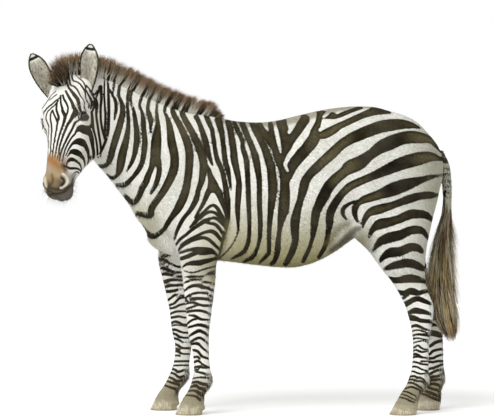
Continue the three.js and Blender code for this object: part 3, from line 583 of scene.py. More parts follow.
HAUNCH_STRIPES = [
    [186, 654, 18, 198, 672, 23, 219, 716, 28, 230, 760, 27, 228, 804, 35, 230, 848, 39, 239, 892, 33,
     252, 936, 28, 264, 980, 37, 273, 1016, 39, 291, 1046, 37, 320, 1075, 40, 357, 1110, 42,
     395, 1144, 44, 432, 1179, 41, 472, 1205, 44, 516, 1225, 49, 560, 1243, 50, 604, 1258, 51,
     648, 1266, 50, 692, 1270, 42, 736, 1267, 26, 781, 1254, 4],
    [265, 667, 16, 289, 716, 16, 303, 760, 15, 311, 804, 26, 320, 875, 37, 333, 910, 40, 353, 949, 47,
     377, 994, 47, 410, 1031, 44, 450, 1064, 44, 472, 1082, 58, 516, 1102, 57, 560, 1135, 42,
     604, 1168, 53, 648, 1188, 59, 692, 1206, 53, 736, 1214, 53, 781, 1211, 46, 825, 1201, 25,
     856, 1170, 13, 877, 1148, 13],
    [335, 685, 13, 364, 738, 19, 377, 804, 22, 381, 839, 31, 384, 875, 34, 399, 910, 34, 415, 936, 32,
     441, 969, 30, 472, 997, 33, 516, 1018, 32, 560, 1037, 32, 604, 1056, 38, 648, 1076, 48,
     692, 1095, 54, 736, 1109, 57, 781, 1121, 54, 825, 1128, 40, 869, 1119, 15, 899, 1113, 15],
    [428, 1265, 27, 472, 1289, 33, 516, 1311, 37, 560, 1324, 35, 604, 1327, 26, 648, 1320, 7],
    [886, 1051, 11, 856, 1044, 11, 825, 1038, 19, 781, 1024, 29, 736, 1010, 46, 692, 995, 56,
     648, 979, 54, 604, 962, 41, 560, 947, 35, 529, 936, 30, 507, 921, 22, 494, 901, 26, 492, 879, 21,
     498, 855, 15, 512, 835, 7],
    [498, 932, 9, 472, 921, 11, 450, 908, 15, 439, 890, 17, 442, 870, 14, 456, 850, 6],
    [886, 962, 13, 856, 960, 13, 825, 959, 29, 781, 955, 31, 736, 942, 34, 692, 926, 30, 648, 910, 31,
     604, 897, 39, 573, 888, 37, 551, 875, 26, 538, 855, 23, 531, 835, 15, 527, 815, 7],
    [854, 837, 18, 829, 855, 18, 807, 870, 30, 781, 875, 35, 736, 873, 39, 692, 854, 35, 648, 840, 38,
     604, 830, 44, 582, 817, 29, 567, 800, 21, 556, 773, 9],
    [830, 753, 14, 811, 777, 14, 796, 797, 23, 772, 806, 33, 736, 802, 35, 692, 782, 40, 648, 772, 44,
     613, 758, 36, 591, 738, 22, 571, 714, 11],
    [789, 711, 18, 767, 727, 32, 736, 728, 36, 692, 710, 38, 653, 706, 40, 626, 691, 27, 604, 669, 13],
    [836, 618, 16, 807, 630, 16, 781, 641, 28, 759, 652, 33, 728, 659, 37, 692, 654, 34, 657, 645, 27,
     624, 632, 11],
    [639, 593, 13, 666, 583, 24, 692, 583, 26, 719, 589, 33, 745, 590, 35, 772, 586, 28, 811, 577, 17,
     842, 570, 17],
    [673, 535, 13, 692, 528, 19, 714, 526, 20, 736, 534, 26, 756, 531, 28, 776, 525, 19, 798, 533, 17,
     825, 539, 13, 855, 547, 13],
    [692, 496, 7, 710, 505, 10, 728, 514, 7],
    [699, 480, 13, 714, 475, 22, 732, 484, 21, 750, 495, 21, 772, 500, 20, 794, 493, 19, 825, 480, 13],
    [712, 429, 7, 736, 440, 16, 759, 448, 25, 781, 445, 24, 803, 441, 19, 825, 434, 13],
    [725, 419, 20, 750, 415, 26, 767, 411, 21, 785, 404, 19, 829, 400, 18],
    [736, 374, 10, 761, 382, 15, 781, 377, 14, 803, 367, 11, 829, 361, 9],
    [736, 355, 9, 767, 362, 9, 789, 359, 9, 811, 350, 9, 829, 345, 9],
    [736, 334, 11, 763, 342, 11, 785, 343, 13, 811, 339, 13, 829, 336, 9],
    [736, 318, 10, 763, 326, 10, 781, 326, 9, 798, 322, 9, 829, 319, 9],
    [736, 299, 8, 762, 309, 9, 781, 313, 9, 798, 314, 8, 829, 303, 9],
    [736, 278, 9, 759, 288, 10, 774, 294, 11, 786, 284, 11, 803, 278, 9, 829, 277, 9],
    [736, 264, 9, 762, 274, 10, 774, 271, 11, 790, 265, 11, 810, 268, 10, 829, 273, 7],
    [734, 249, 10, 758, 257, 11, 774, 253, 11, 790, 244, 9],
    [734, 236, 10, 758, 243, 11, 774, 244, 11, 794, 241, 11, 829, 238, 10],
    [734, 221, 11, 758, 221, 11, 774, 217, 11, 794, 211, 11, 829, 209, 11],
    [785, 225, 9, 829, 225, 9],
    [734, 198, 10, 758, 201, 11, 774, 197, 11, 794, 187, 10, 829, 180, 9],
    [730, 182, 8, 754, 179, 10, 774, 171, 11, 794, 169, 10, 829, 176, 9],
    [719, 150, 9, 750, 159, 11, 770, 153, 12, 790, 149, 11, 810, 133, 10, 833, 120, 7],
    [714, 142, 8, 746, 144, 11, 770, 137, 11, 790, 134, 11, 810, 117, 9],
    [710, 129, 8, 742, 129, 11, 762, 123, 11, 778, 113, 11, 803, 98, 9],
    [701, 103, 8, 720, 105, 10, 742, 111, 11, 762, 105, 11, 789, 92, 9],
    [697, 94, 7, 730, 87, 10, 750, 77, 10, 772, 67, 7],
    [692, 82, 7, 722, 73, 9, 742, 63, 9, 763, 52, 7],
    [684, 67, 8, 718, 59, 10, 738, 49, 11, 759, 41, 7],
]
FACE_STRIPES = [
    [-825, 1415, 7, -847, 1395, 7, -860, 1373, 7, -869, 1360, 6, -886, 1338, 6, -895, 1320, 5,
     -897, 1307, 5],
    [-820, 1401, 6, -838, 1388, 6, -851, 1377, 6],
    [-811, 1384, 8, -829, 1368, 9, -851, 1351, 9, -869, 1333, 9, -882, 1311, 7],
    [-814, 1373, 8, -829, 1355, 7, -847, 1338, 7, -860, 1324, 7, -867, 1307, 7, -865, 1285, 7,
     -856, 1263, 8, -856, 1241, 8, -857, 1210, 7, -857, 1179, 7, -860, 1148, 5, -862, 1121, 4],
    [-891, 1302, 8, -884, 1285, 6, -878, 1258, 5, -870, 1236, 6, -869, 1214, 5, -870, 1179, 5,
     -871, 1135, 4],
    [-842, 1329, 8, -847, 1311, 9, -847, 1289, 9, -843, 1263, 9, -843, 1236, 9, -845, 1210, 8,
     -847, 1179, 7, -847, 1157, 7, -851, 1126, 4],
    [-838, 1333, 7, -833, 1316, 8, -825, 1298, 8, -818, 1282, 9],
    [-820, 1364, 11, -821, 1333, 10, -816, 1316, 10, -811, 1298, 11, -816, 1280, 10, -820, 1254, 9,
     -825, 1227, 8, -830, 1201, 8, -834, 1174, 7, -837, 1148, 7, -842, 1117, 4],
    [-803, 1395, 9, -803, 1368, 9, -798, 1346, 10, -792, 1324, 14, -784, 1307, 15, -786, 1289, 13,
     -794, 1263, 10, -802, 1241, 9, -810, 1214, 8, -817, 1188, 8, -822, 1161, 7, -829, 1121, 4],
    [-794, 1399, 8, -789, 1382, 9, -781, 1368, 9, -774, 1355, 8, -770, 1338, 8, -774, 1320, 8,
     -781, 1302, 7],
    [-781, 1417, 8, -767, 1390, 11, -754, 1368, 12, -747, 1346, 15, -745, 1324, 18, -752, 1302, 15,
     -761, 1285, 13, -772, 1269, 11, -781, 1249, 10, -790, 1227, 9, -799, 1201, 8, -807, 1174, 8,
     -811, 1152, 7, -818, 1117, 4],
    [-778, 1465, 8, -767, 1430, 9, -754, 1415, 13, -741, 1397, 17, -730, 1382, 18, -723, 1364, 15,
     -717, 1349, 12, -708, 1329, 11],
    [-765, 1474, 7, -759, 1443, 7, -741, 1435, 8, -728, 1417, 8, -719, 1399, 8, -706, 1382, 8,
     -697, 1368, 9, -690, 1351, 8, -688, 1340, 6],
    [-754, 1501, 7, -750, 1465, 7, -732, 1457, 7, -717, 1446, 7, -706, 1430, 8, -697, 1413, 8,
     -693, 1395, 9, -690, 1377, 9, -681, 1364, 9, -679, 1351, 8, -681, 1342, 6],
    [-741, 1510, 5, -736, 1487, 5, -719, 1470, 6, -701, 1452, 6, -692, 1430, 7],
    [-695, 1424, 7, -681, 1399, 8, -670, 1379, 9, -666, 1364, 9, -669, 1346, 7, -672, 1338, 5],
    [-690, 1441, 6, -675, 1421, 7, -664, 1401, 7, -655, 1384, 7, -650, 1379, 7, -644, 1395, 7,
     -637, 1417, 7, -633, 1437, 6],
    [-668, 1417, 5, -655, 1401, 6, -644, 1417, 5],
    [-657, 1373, 7, -655, 1360, 8, -658, 1342, 8, -666, 1322, 8],
    [-644, 1375, 7, -642, 1355, 9, -645, 1333, 11, -646, 1311, 9, -644, 1289, 9, -640, 1263, 9,
     -636, 1236, 9, -632, 1210, 9, -628, 1183, 9, -626, 1157, 8, -628, 1130, 6],
    [-626, 1439, 9, -624, 1399, 10, -625, 1377, 9, -627, 1346, 9, -627, 1311, 9, -625, 1280, 9,
     -620, 1249, 9, -613, 1223, 9, -609, 1205, 8],
    [-611, 1395, 6, -609, 1355, 8, -607, 1311, 8, -608, 1267, 8, -609, 1232, 8, -609, 1210, 7],
    [-593, 1382, 11, -591, 1333, 12, -592, 1289, 12, -594, 1245, 11, -601, 1210, 11, -612, 1179, 10,
     -624, 1152, 8, -633, 1135, 6],
    [-667, 1324, 9, -664, 1302, 11, -663, 1276, 13, -659, 1249, 10, -653, 1227, 8, -647, 1201, 8,
     -643, 1174, 8, -641, 1148, 8, -639, 1119, 7],
    [-663, 1276, 11, -673, 1258, 13, -688, 1260, 9],
    [-719, 1289, 11, -730, 1284, 11, -741, 1274, 10, -748, 1260, 9, -755, 1245, 9, -767, 1223, 9,
     -778, 1201, 9, -789, 1179, 8, -798, 1157, 8, -805, 1135, 7, -810, 1108, 5],
    [-732, 1247, 7, -741, 1227, 8, -753, 1214, 7, -763, 1199, 7, -772, 1183, 7, -781, 1166, 7,
     -786, 1152, 7, -792, 1130, 6, -796, 1108, 5],
    [-739, 1232, 7, -730, 1243, 14, -717, 1252, 29, -701, 1247, 37, -684, 1238, 33, -673, 1223, 24,
     -666, 1201, 19, -662, 1174, 14, -658, 1148, 12, -658, 1126, 11, -659, 1104, 9],
    [-783, 1132, 4, -772, 1152, 6, -763, 1168, 8, -750, 1185, 11, -732, 1193, 24, -714, 1192, 33,
     -699, 1183, 29, -688, 1166, 20, -683, 1144, 13, -681, 1121, 11, -682, 1099, 15],
    [-774, 1128, 4, -765, 1141, 9, -754, 1149, 18, -739, 1148, 26, -723, 1141, 24, -710, 1130, 18,
     -701, 1113, 13, -696, 1091, 11, -698, 1071, 9],
    [-671, 1128, 8, -673, 1113, 7],
    [-778, 1091, 6, -772, 1107, 11, -759, 1115, 17, -745, 1113, 13, -732, 1106, 11, -719, 1094, 11,
     -712, 1077, 9, -712, 1060, 7],
    [-789, 1086, 9, -778, 1083, 10, -763, 1076, 11, -741, 1076, 9, -723, 1072, 8, -713, 1063, 7],
    [-751, 1042, 4, -744, 1055, 5, -732, 1061, 5, -722, 1055, 5, -720, 1044, 5],
]
LEFT_FORE_STRIPES = [
    [-260, 625, 5, -234, 617, 8, -207, 619, 8, -181, 628, 8, -154, 636, 8, -119, 646, 7],
    [-260, 595, 7, -234, 598, 9, -207, 601, 9, -181, 601, 9, -159, 606, 9, -137, 610, 9, -115, 608, 7],
    [-154, 614, 6, -137, 620, 7, -115, 622, 6],
    [-260, 570, 7, -234, 581, 11, -212, 584, 10, -190, 583, 10, -168, 576, 11, -146, 570, 12,
     -119, 568, 9],
    [-260, 535, 9, -234, 553, 13, -212, 559, 15, -190, 557, 17, -168, 550, 15, -146, 544, 13,
     -119, 535, 10],
    [-256, 504, 9, -234, 517, 11, -212, 525, 11, -190, 529, 11, -168, 526, 11, -146, 517, 11,
     -123, 504, 8],
    [-256, 491, 9, -234, 497, 12, -212, 501, 14, -190, 502, 14, -168, 500, 14, -146, 495, 13,
     -123, 491, 9],
    [-256, 476, 6, -229, 484, 10, -207, 481, 10, -190, 474, 11, -168, 470, 12, -128, 473, 9],
    [-256, 454, 7, -234, 461, 10, -216, 467, 9, -198, 472, 7],
    [-256, 440, 8, -234, 445, 11, -212, 448, 11, -190, 448, 12, -168, 443, 12, -146, 434, 11,
     -128, 427, 8],
    [-238, 427, 7, -216, 426, 11, -203, 420, 12, -190, 412, 13, -172, 408, 10, -137, 409, 7],
    [-251, 385, 7, -234, 400, 10, -220, 408, 10, -203, 412, 9],
    [-247, 372, 7, -234, 376, 10, -216, 381, 11, -194, 385, 14, -172, 381, 15, -141, 372, 13],
    [-238, 334, 7, -227, 342, 11, -212, 351, 14, -194, 359, 15, -176, 353, 14, -146, 335, 11],
    [-234, 310, 8, -207, 324, 12, -190, 328, 12, -172, 318, 11, -146, 297, 7],
    [-234, 300, 8, -203, 303, 14, -190, 295, 11, -176, 281, 10, -146, 259, 8],
    [-229, 275, 9, -203, 270, 13, -190, 257, 11, -176, 244, 11, -141, 233, 9],
    [-229, 240, 8, -203, 244, 11, -190, 237, 8],
    [-225, 217, 8, -203, 225, 11, -192, 223, 10, -176, 210, 8, -141, 193, 7],
    [-225, 196, 7, -194, 201, 11, -172, 196, 11, -141, 198, 8],
    [-225, 182, 5, -194, 191, 7],
    [-207, 178, 9, -181, 173, 11, -163, 168, 11, -137, 169, 7],
    [-229, 147, 6, -194, 153, 8, -172, 152, 9, -128, 148, 8],
    [-234, 129, 7, -203, 133, 12, -190, 128, 14, -172, 123, 14, -132, 119, 13],
    [-238, 109, 8, -207, 116, 13, -194, 107, 13, -163, 98, 17],
    [-243, 93, 8, -212, 94, 11, -190, 81, 16, -163, 72, 17],
    [-251, 74, 7, -212, 70, 11, -190, 54, 13],
]
RIGHT_FORE_STRIPES = [
    [-388, 676, 13, -357, 677, 15, -340, 670, 14, -318, 656, 11, -287, 641, 9],
    [-388, 648, 6, -357, 657, 7, -331, 647, 6],
    [-384, 635, 11, -353, 637, 15, -335, 630, 16, -313, 623, 13, -269, 612, 9],
    [-379, 606, 11, -344, 610, 14, -322, 606, 14, -300, 603, 11, -260, 597, 9],
    [-375, 568, 13, -340, 578, 16, -318, 583, 14, -295, 583, 12, -251, 577, 9],
    [-366, 548, 12, -331, 557, 14, -309, 559, 13, -287, 560, 11, -247, 564, 8],
    [-353, 533, 12, -322, 533, 14, -304, 535, 11, -287, 542, 9, -247, 544, 7],
    [-344, 484, 8, -318, 504, 11, -300, 517, 11, -287, 520, 10, -269, 516, 9, -243, 517, 6],
    [-335, 469, 8, -304, 480, 10, -291, 493, 11, -278, 503, 10, -247, 508, 7],
    [-331, 456, 7, -300, 462, 10, -282, 472, 10, -247, 482, 8],
    [-331, 429, 8, -304, 441, 10, -282, 445, 10, -243, 445, 7],
    [-331, 415, 8, -295, 421, 11, -278, 422, 10, -243, 411, 7],
    [-331, 385, 7, -304, 399, 10, -287, 398, 10, -269, 389, 9, -234, 374, 7],
    [-331, 376, 6, -295, 385, 7, -260, 379, 5],
    [-331, 363, 8, -300, 364, 11, -278, 356, 10, -234, 341, 6],
    [-322, 352, 7, -295, 343, 11, -278, 332, 10, -234, 323, 6],
    [-318, 328, 7, -291, 323, 10, -265, 308, 7],
    [-318, 306, 9, -287, 295, 11, -269, 284, 10, -225, 275, 7],
    [-318, 289, 7, -278, 275, 8],
    [-318, 275, 7, -287, 267, 10, -265, 257, 8, -229, 253, 6],
    [-318, 253, 7, -278, 248, 8],
    [-326, 224, 8, -287, 224, 10, -234, 226, 8],
    [-331, 204, 7, -287, 206, 8, -229, 208, 6],
    [-335, 198, 8, -300, 187, 10, -287, 178, 12, -269, 182, 11, -225, 202, 8],
    [-340, 180, 8, -304, 169, 10, -282, 154, 11, -260, 160, 10, -220, 176, 7],
    [-344, 162, 8, -309, 147, 10, -287, 136, 11, -243, 149, 10],
    [-353, 145, 7, -313, 129, 10, -260, 116, 13],
    [-362, 127, 7, -322, 109, 10, -269, 94, 17],
]
RIGHT_HIND_STRIPES = [
    [798, 345, 26, 829, 350, 26, 869, 341, 26],
    [798, 288, 11, 827, 292, 13, 847, 306, 15, 886, 319, 13],
    [798, 244, 9, 826, 257, 11, 842, 271, 12, 891, 281, 11],
    [798, 233, 9, 826, 237, 11, 842, 239, 11, 858, 247, 11, 895, 259, 9],
    [798, 222, 9, 826, 221, 11, 842, 221, 11, 862, 225, 11, 900, 225, 9],
    [798, 187, 9, 824, 191, 11, 842, 195, 11, 862, 203, 11, 900, 217, 9],
    [798, 156, 9, 820, 165, 11, 842, 177, 11, 862, 185, 11, 900, 190, 9],
    [794, 145, 9, 820, 151, 11, 842, 157, 11, 862, 159, 11, 900, 180, 9],
    [789, 127, 8, 814, 135, 11, 834, 141, 11, 858, 143, 11, 900, 147, 9],
    [789, 114, 9, 820, 121, 12, 838, 125, 12, 858, 121, 13, 900, 109, 12],
    [785, 116, 8, 814, 111, 11, 834, 103, 11, 873, 93, 13],
    [781, 101, 8, 818, 89, 12, 838, 81, 13, 873, 67, 15],
    [772, 87, 8, 814, 73, 11, 834, 63, 11, 869, 50, 13],
]
TAIL_BANDS = [(1.165, 0.013), (1.135, 0.014), (1.105, 0.012), (1.077, 0.011), (1.05, 0.011),
              (1.024, 0.01), (1.0, 0.009), (0.975, 0.01), (0.95, 0.009)]


ENDLESS = 0.02  # the distance from a stripe past which it no longer matters


def bent(points, parts=4):
    """A smooth curve through the points of a stripe."""
    p = np.vstack([points[:1], points, points[-1:]])
    made = []
    for a, b, c, d in zip(p, p[1:], p[2:], p[3:]):
        for t in np.arange(parts) / parts:
            made.append(0.5 * (2 * b + (c - a) * t + (2 * a - 5 * b + 4 * c - d) * t**2
                               + (3 * b - 3 * c + d - a) * t**3))
    return np.array(made + [points[-1]])


def ink(p, stripes, reach=ENDLESS):
    """How far each point lies outside the nearest stripe, negative inside it."""
    nearest = np.full(len(p), reach)
    for stripe in stripes:
        spots, half = stripe[:, :-1], stripe[:, -1]
        low, high = spots.min(0) - half.max() - reach, spots.max(0) + half.max() + reach
        close = np.nonzero(((p > low) & (p < high)).all(1))[0]
        if not len(close):
            continue
        q = p[close]
        best = np.full(len(q), reach)
        for a, b, ra, rb in zip(spots, spots[1:], half, half[1:]):
            ab = b - a
            t = np.clip((q - a) @ ab / max(ab @ ab, 1e-9), 0, 1)
            best = np.minimum(best, np.linalg.norm(q - a - t[:, None] * ab, axis=1) - ra - t * (rb - ra))
        nearest[close] = np.minimum(nearest[close], best)
    return nearest


def on_side(rows, parts=4):
    """Strokes of the tables in metres, as curves of place, height and half width."""
    return [bent(np.reshape(row, (-1, 3)) / (1000, 1000, 2000), parts) for row in rows]


def seen(spots, field=head_flesh):
    """Where lines of sight from the camera through places on the middle plane meet a field."""
    start = np.column_stack([np.zeros(len(spots)), spots])
    way = CAMERA - start
    shares = np.linspace(0.05, -0.02, 141)
    values = field(start[:, None] + shares[None, :, None] * way[:, None])
    met = values < 0.0012
    hit = np.where(met.any(1), met.argmax(1), values.argmin(1))
    return settle(start + shares[hit][:, None] * way, field)[0]


body_stripes = on_side(NECK_STRIPES + BARREL_STRIPES + HAUNCH_STRIPES)
body_gaps = on_side(BARREL_GAPS)
cheek_stripes = on_side(FACE_STRIPES)
face_stripes = [np.column_stack([seen(curve[:, :2]), curve[:, 2]]) for curve in on_side(FACE_STRIPES, 3)]
left_fore, right_fore, right_hind = (
    on_side(rows) for rows in (LEFT_FORE_STRIPES, RIGHT_FORE_STRIPES, RIGHT_HIND_STRIPES))


def mirrored(p):
    """The same place on the other side of the head."""
    return p - 2 * in_head(p)[2][:, None] * leftward


# The right cheek carries the left one's stripes, but for those of the brow, which the
# camera sees on both sides.
BROW_HALF = 0.045
far_face = [np.column_stack([mirrored(stripe[:, :3]), stripe[:, 3]]) for stripe in face_stripes
            if in_head(stripe[:, :3])[2].max() > BROW_HALF]

# Shades of the hide: a colour, its strength, how softly it ends, and a stroke as above.
# First painted shade along the top line and in the folds of the body, then the patches of the
# muzzle, with painted highlights on the nostrils' rims and painted shade in the nostrils. The
# mouth is a stroke too, along which the lips meet.
FOLDS = [
    ("7b6c4a", 0.62, 0.012, [-93, 1298, 34, 9, 1280, 40, 119, 1285, 46, 207, 1300, 52, 295, 1322, 52,
                             384, 1343, 46, 472, 1355, 40, 604, 1356, 34, 736, 1322, 24, 825, 1256, 16]),
    ("6b6545", 0.62, 0.012, [-66, 839, 20, -84, 760, 18, -106, 680, 12]),
    ("847a4d", 0.7, 0.02, [376, 745, 14, 415, 808, 18, 467, 835, 12]),
    ("4a4628", 0.8, 0.012, [388, 716, 14, 428, 744, 20, 463, 777, 26, 490, 806, 22, 512, 813, 14]),
]
NOSTRIL = [-798, 1036, 8, -786, 1026, 11, -784, 1014, 11, -798, 998, 7]
MOUTH = [-733, 1056, 1, -742, 1035, 1, -750, 1018, 1, -763, 994, 1, -789, 972, 1, -829, 963, 1,
         -862, 978, 1]
MUZZLE = [
    ("a06a20", 0.92, 0.026, [-858, 1120, 14, -835, 1105, 30, -808, 1078, 8]),  # tan of the nose
    ("4e2c12", 0.8, 0.010, [-793, 1090, 16, -783, 1070, 14]),
    ("8f7750", 0.75, 0.016, [-850, 1040, 10, -833, 1020, 26, -828, 1000, 20]),
    ("716b5e", 0.7, 0.016, [-756, 1040, 14, -750, 1005, 20, -752, 975, 14]),
    ("3a2a1a", 0.7, 0.008, [-842, 1050, 3, -838, 1022, 6, -850, 1000, 5]),
    # painted shade in the far nostril's opening
    ("2a1f15", 0.8, 0.007, [-884, 1036, 4, -887, 1012, 5, -878, 994, 4]),  # far nostril
    ("1f1811", 0.85, 0.008, [-866, 992, 6, -803, 984, 8, -756, 1002, 5]),
    ("17120d", 0.9, 0.006, [-736, 1051, 4, -750, 1024, 5, -763, 994, 6, -789, 972, 7, -829, 963, 7,
                            -858, 976, 6]),  # lips
    # painted highlight on the near nostril's rim
    ("f1ead8", 0.9, 0.005, [-794, 1050, 8, -780, 1040, 9, -773, 1022, 9, -781, 1004, 9, -803, 990, 7]),
    # painted shade deep in the near nostril's pit
    ("0f0c09", 0.97, 0.004, NOSTRIL),
    # painted highlight on the far nostril's rim
    ("e8dfc8", 0.8, 0.006, [-876, 1036, 8, -872, 1012, 12, -868, 996, 8]),
]


def in_view(near, y, z):
    """Where the camera sees places that stand so far in front of the middle plane, on it."""
    grow = CAMERA_DISTANCE / (CAMERA_DISTANCE - near)
    return np.column_stack([CAMERA[1] + (y - CAMERA[1]) * grow, CAMERA[2] + (z - CAMERA[2]) * grow])


def flat(p):
    """The view of the body with its right side, legs too, laid on the left one."""
    x, y, z = p.T
    low = (z < 0.98) & (x < 0)
    y = np.where(low & (y < 0.1), y - fore_shift(z), y)
    y = np.where(low & (y >= 0.1), y - hind_shift(z), y)
    return in_view(np.abs(x), y, z)


def direct(p):
    return in_view(p[:, 0], p[:, 1], p[:, 2])


def turned_away(p):
    """The angle round the head's own length, from its brow towards its right side."""
    _, n, s = in_head(p)
    return np.arctan2(-s, n + 0.075)


def face_flat(p):
    """The view of the head, whose far side repeats the near one."""
    return np.where((turned_away(p) < math.radians(40))[:, None], direct(p), direct(mirrored(p)))


def marks(p):
    """The signed distance to the edge of the dark markings, negative inside them."""
    x, y, z = p.T
    aside_of_head = in_head(p)[2]
    on_head = head_flesh(p) < body_flesh(p) + 0.004
    body = ~on_head
    found = np.full(len(p), ENDLESS)

    # The body, whose right side has the left one's stripes moved a little.
    along = (p - NECK_BASE) @ neck_axis
    aside = x - neck_bend(along) * (along > 0) * (y < -0.1)
    right = ease(-aside, 0.02, 0.12)
    spots = flat(p)
    spots[:, 0] += right * 0.008 * np.sin(9 * z + 4 * y)
    spots[:, 1] += right * 0.007 * np.sin(11 * y + 1)
    q = spots[body]
    spread = -0.0007 + 0.0025 * ease(q[:, 1], 0.33, 0.5)
    found[body] = np.maximum(ink(q, body_stripes) - spread, 0.0004 - ink(q, body_gaps))

    # The lower legs, which have stripes of their own. Where the left foreleg hides the right
    # one, its stripes run on level.
    view = direct(p)
    high = view[:, 1]
    hidden_from = np.interp(high, [0.5, 0.62], [-0.262, -0.288])
    behind = np.column_stack([np.minimum(view[:, 0], hidden_from), high])
    for chosen, places, stripes in (
        (body & (y < 0.1) & (x > 0) & (high < 0.668), view, left_fore + body_stripes),
        (body & (y < 0.1) & (x < 0) & (high < 0.688), behind, right_fore),
        (body & (y > 0.4) & (x < 0) & (high < 0.373), view, right_hind),
    ):
        found[chosen] = ink(places[chosen], stripes) - 0.0005

    # The head, and the back of the cheek, where the stripes of face and neck meet.
    q = p[on_head]
    near_side = turned_away(q) < math.radians(52)
    found[on_head] = np.where(near_side, ink(q, face_stripes), ink(q, far_face)) - 0.0006
    far_side = (aside_of_head < -0.02) & (y < -0.5)
    twin = np.where(far_side[:, None], direct(mirrored(p)), view)
    cheek = (twin[:, 1] > 1.12) & (twin[:, 1] < 1.5) & (twin[:, 0] > -0.678) & (twin[:, 0] < -0.575)
    cheek &= (body | (np.abs(aside_of_head) > 0.05)) & ((x > 0.04) | (aside_of_head < -0.02))
    cheek &= head_flesh(p) < 0.12
    found[cheek] = ink(twin[cheek], body_stripes + cheek_stripes) - 0.001

    dock = tail_part(z, y, x) < 0.006
    for height, depth in TAIL_BANDS:
        found[dock] = np.minimum(found[dock], np.abs(z[dock] - height) - depth / 2)
    return found


def paint(code):
    """A colour written as six hexadecimal digits, as the shaders take it."""
    c = np.array([int(code[i: i + 2], 16) for i in (0, 2, 4)]) / 255
    return np.where(c < 0.04045, c / 12.92, ((c + 0.055) / 1.055) ** 2.4)


def tinted(base, colour, share):
    return base + (paint(colour) - base) * np.clip(share, 0, 1)[:, None]


under_line = smooth_rows([(r[0], r[1]) for r in TRUNK])


def shaded(colours, places, shades, chosen):
    """Lays the shades over colours, at the chosen points."""
    for colour, strength, soft, row in shades:
        away = ink(places[chosen], on_side([row]), soft * 2 + 0.01)
        share = np.zeros(len(places))
        share[chosen] = strength * (1 - ease(away, -soft / 2, soft))
        colours = tinted(colours, colour, share)
    return colours


def hide(p, marked):
    """The pale and the dark colour of the coat at each point, which is so far into a stripe."""
    x, y, z = p.T
    t, n, _ = in_head(p)
    head = ease(0.03 - head_flesh(p), 0, 0.02) * ease(t, 0.02, 0.08)
    body = 1 - head
    pale = np.tile(paint("f7f6ee"), (len(p), 1))
    dark = np.tile(paint("1d180c"), (len(p), 1))

    # Painted shade in khaki under the body, on the back of the haunch and on the breast.
    trunk = body * ease(y, -0.3, 0.0)
    under = under_line(y)[0]
    low = trunk * (1 - ease(z - under, 0.0, 0.34)) * ease(z, 0.52, 0.62) * (1 - ease(y, 0.3, 0.5))
    pale = tinted(pale, "b8b07c", 0.95 * low)
    belly = trunk * (1 - ease(z - under, -0.02, 0.07)) * ease(z, 0.55, 0.62) * (1 - ease(y, 0.5, 0.6))
    pale = tinted(pale, "7f784e", 0.85 * belly)
    rear = ease(y, 0.66, 0.86) * ease(z, 0.5, 0.62) * body
    pale = tinted(pale, "9fa084", 0.7 * rear)
    chest = body * ease(-y, 0.3, 0.42) * (1 - ease(z, 0.85, 1.0)) * ease(z, 0.6, 0.7)
    pale = tinted(pale, "c9c5a0", 0.6 * chest)

    # Painted sheen, as of light from above: brown in the middle of the wide stripes, more of it
    # high along the back, and up the crest. A thin brown line runs along the spine.
    sheen = ease(-marked, 0.004, 0.014) * body * ease(z, 0.74, 1.0)
    band = ease(np.sin(15 * y + 6 * z + 1.5 * np.sin(7 * z)), -0.3, 0.9) * ease(y, 0.1, 0.4)
    dark = tinted(dark, "6b6344", (0.34 * (1 - ease(y, 0.1, 0.4)) + 0.75 * band) * sheen)
    back = ease(z, 1.12, 1.32) * trunk
    dark = tinted(dark, "5f5736", 0.22 * back)
    ridge = (1 - ease(np.abs(x), 0.01, 0.034)) * trunk * ease(z, 1.1, 1.16)
    pale = tinted(pale, "94895c", 0.8 * ridge)
    dark = tinted(dark, "5d5436", 0.8 * ridge)
    crest = ease((p - NECK_BASE) @ neck_up, 0.05, 0.16) * (1 - ease(y, -0.3, -0.1)) * body
    dark = tinted(dark, "5a513a", 0.5 * crest)

    # Dun pasterns, a tan nose, a pale tip to it and dark lips.
    foot = 1 - ease(z, 0.1, 0.2)
    pale = tinted(pale, "8f8460", 0.85 * foot)
    dark = tinted(dark, "3a2e1c", 0.8 * foot)
    front = ease(n, -0.085, -0.04) * head
    nose = ease(t, 0.35, 0.41) * front
    pale = tinted(pale, "7d4f22", 0.66 * nose)
    dark = tinted(dark, "5e3410", 0.7 * nose)
    tip = ease(t, 0.425, 0.47) * front
    pale = tinted(pale, "a58f68", 0.8 * tip)
    dark = tinted(dark, "8a7048", 0.7 * tip)
    lips = np.maximum(ease(t, 0.482, 0.515), ease(t, 0.44, 0.49) * (1 - ease(n, -0.13, -0.095))) * head
    pale = tinted(pale, "40372d", 0.9 * lips)
    dark = tinted(dark, "2c251e", 0.9 * lips)
    low_face = (head > 0.5) & (t > 0.3)
    pale = shaded(pale, face_flat(p), MUZZLE, low_face)
    dark = shaded(dark, face_flat(p), MUZZLE, low_face)
    # Painted shade along the top line and in the folds; the dark stripes take all but the top line's.
    behind_shoulder = (body > 0.5) & (z > 0.6) & (y > -0.2)
    pale = shaded(pale, flat(p), FOLDS, behind_shoulder)
    dark = shaded(dark, flat(p), FOLDS[1:], behind_shoulder)
    cheek = head * ease(-n, 0.08, 0.16) * (1 - ease(t, 0.3, 0.42))
    pale = tinted(pale, "dcdcc8", 0.45 * cheek)
    return pale, dark


CELL = 0.012
SPACE = (-0.3, -1.06, 0.0), (0.42, 0.96, 1.62)
skin_points, skin_quads = net(flesh, *SPACE, CELL)
skin_points, _ = settle(skin_points, turns=2)
skin_mesh = bpy.data.meshes.new("skin")
skin_mesh.from_pydata(skin_points, [], skin_quads.tolist())
skin = bpy.data.objects.new("skin", skin_mesh)
scene.collection.objects.link(skin)


def corners_of(mesh):
    p = np.empty(len(mesh.vertices) * 3)
    mesh.vertices.foreach_get("co", p)
    return p.reshape(-1, 3)


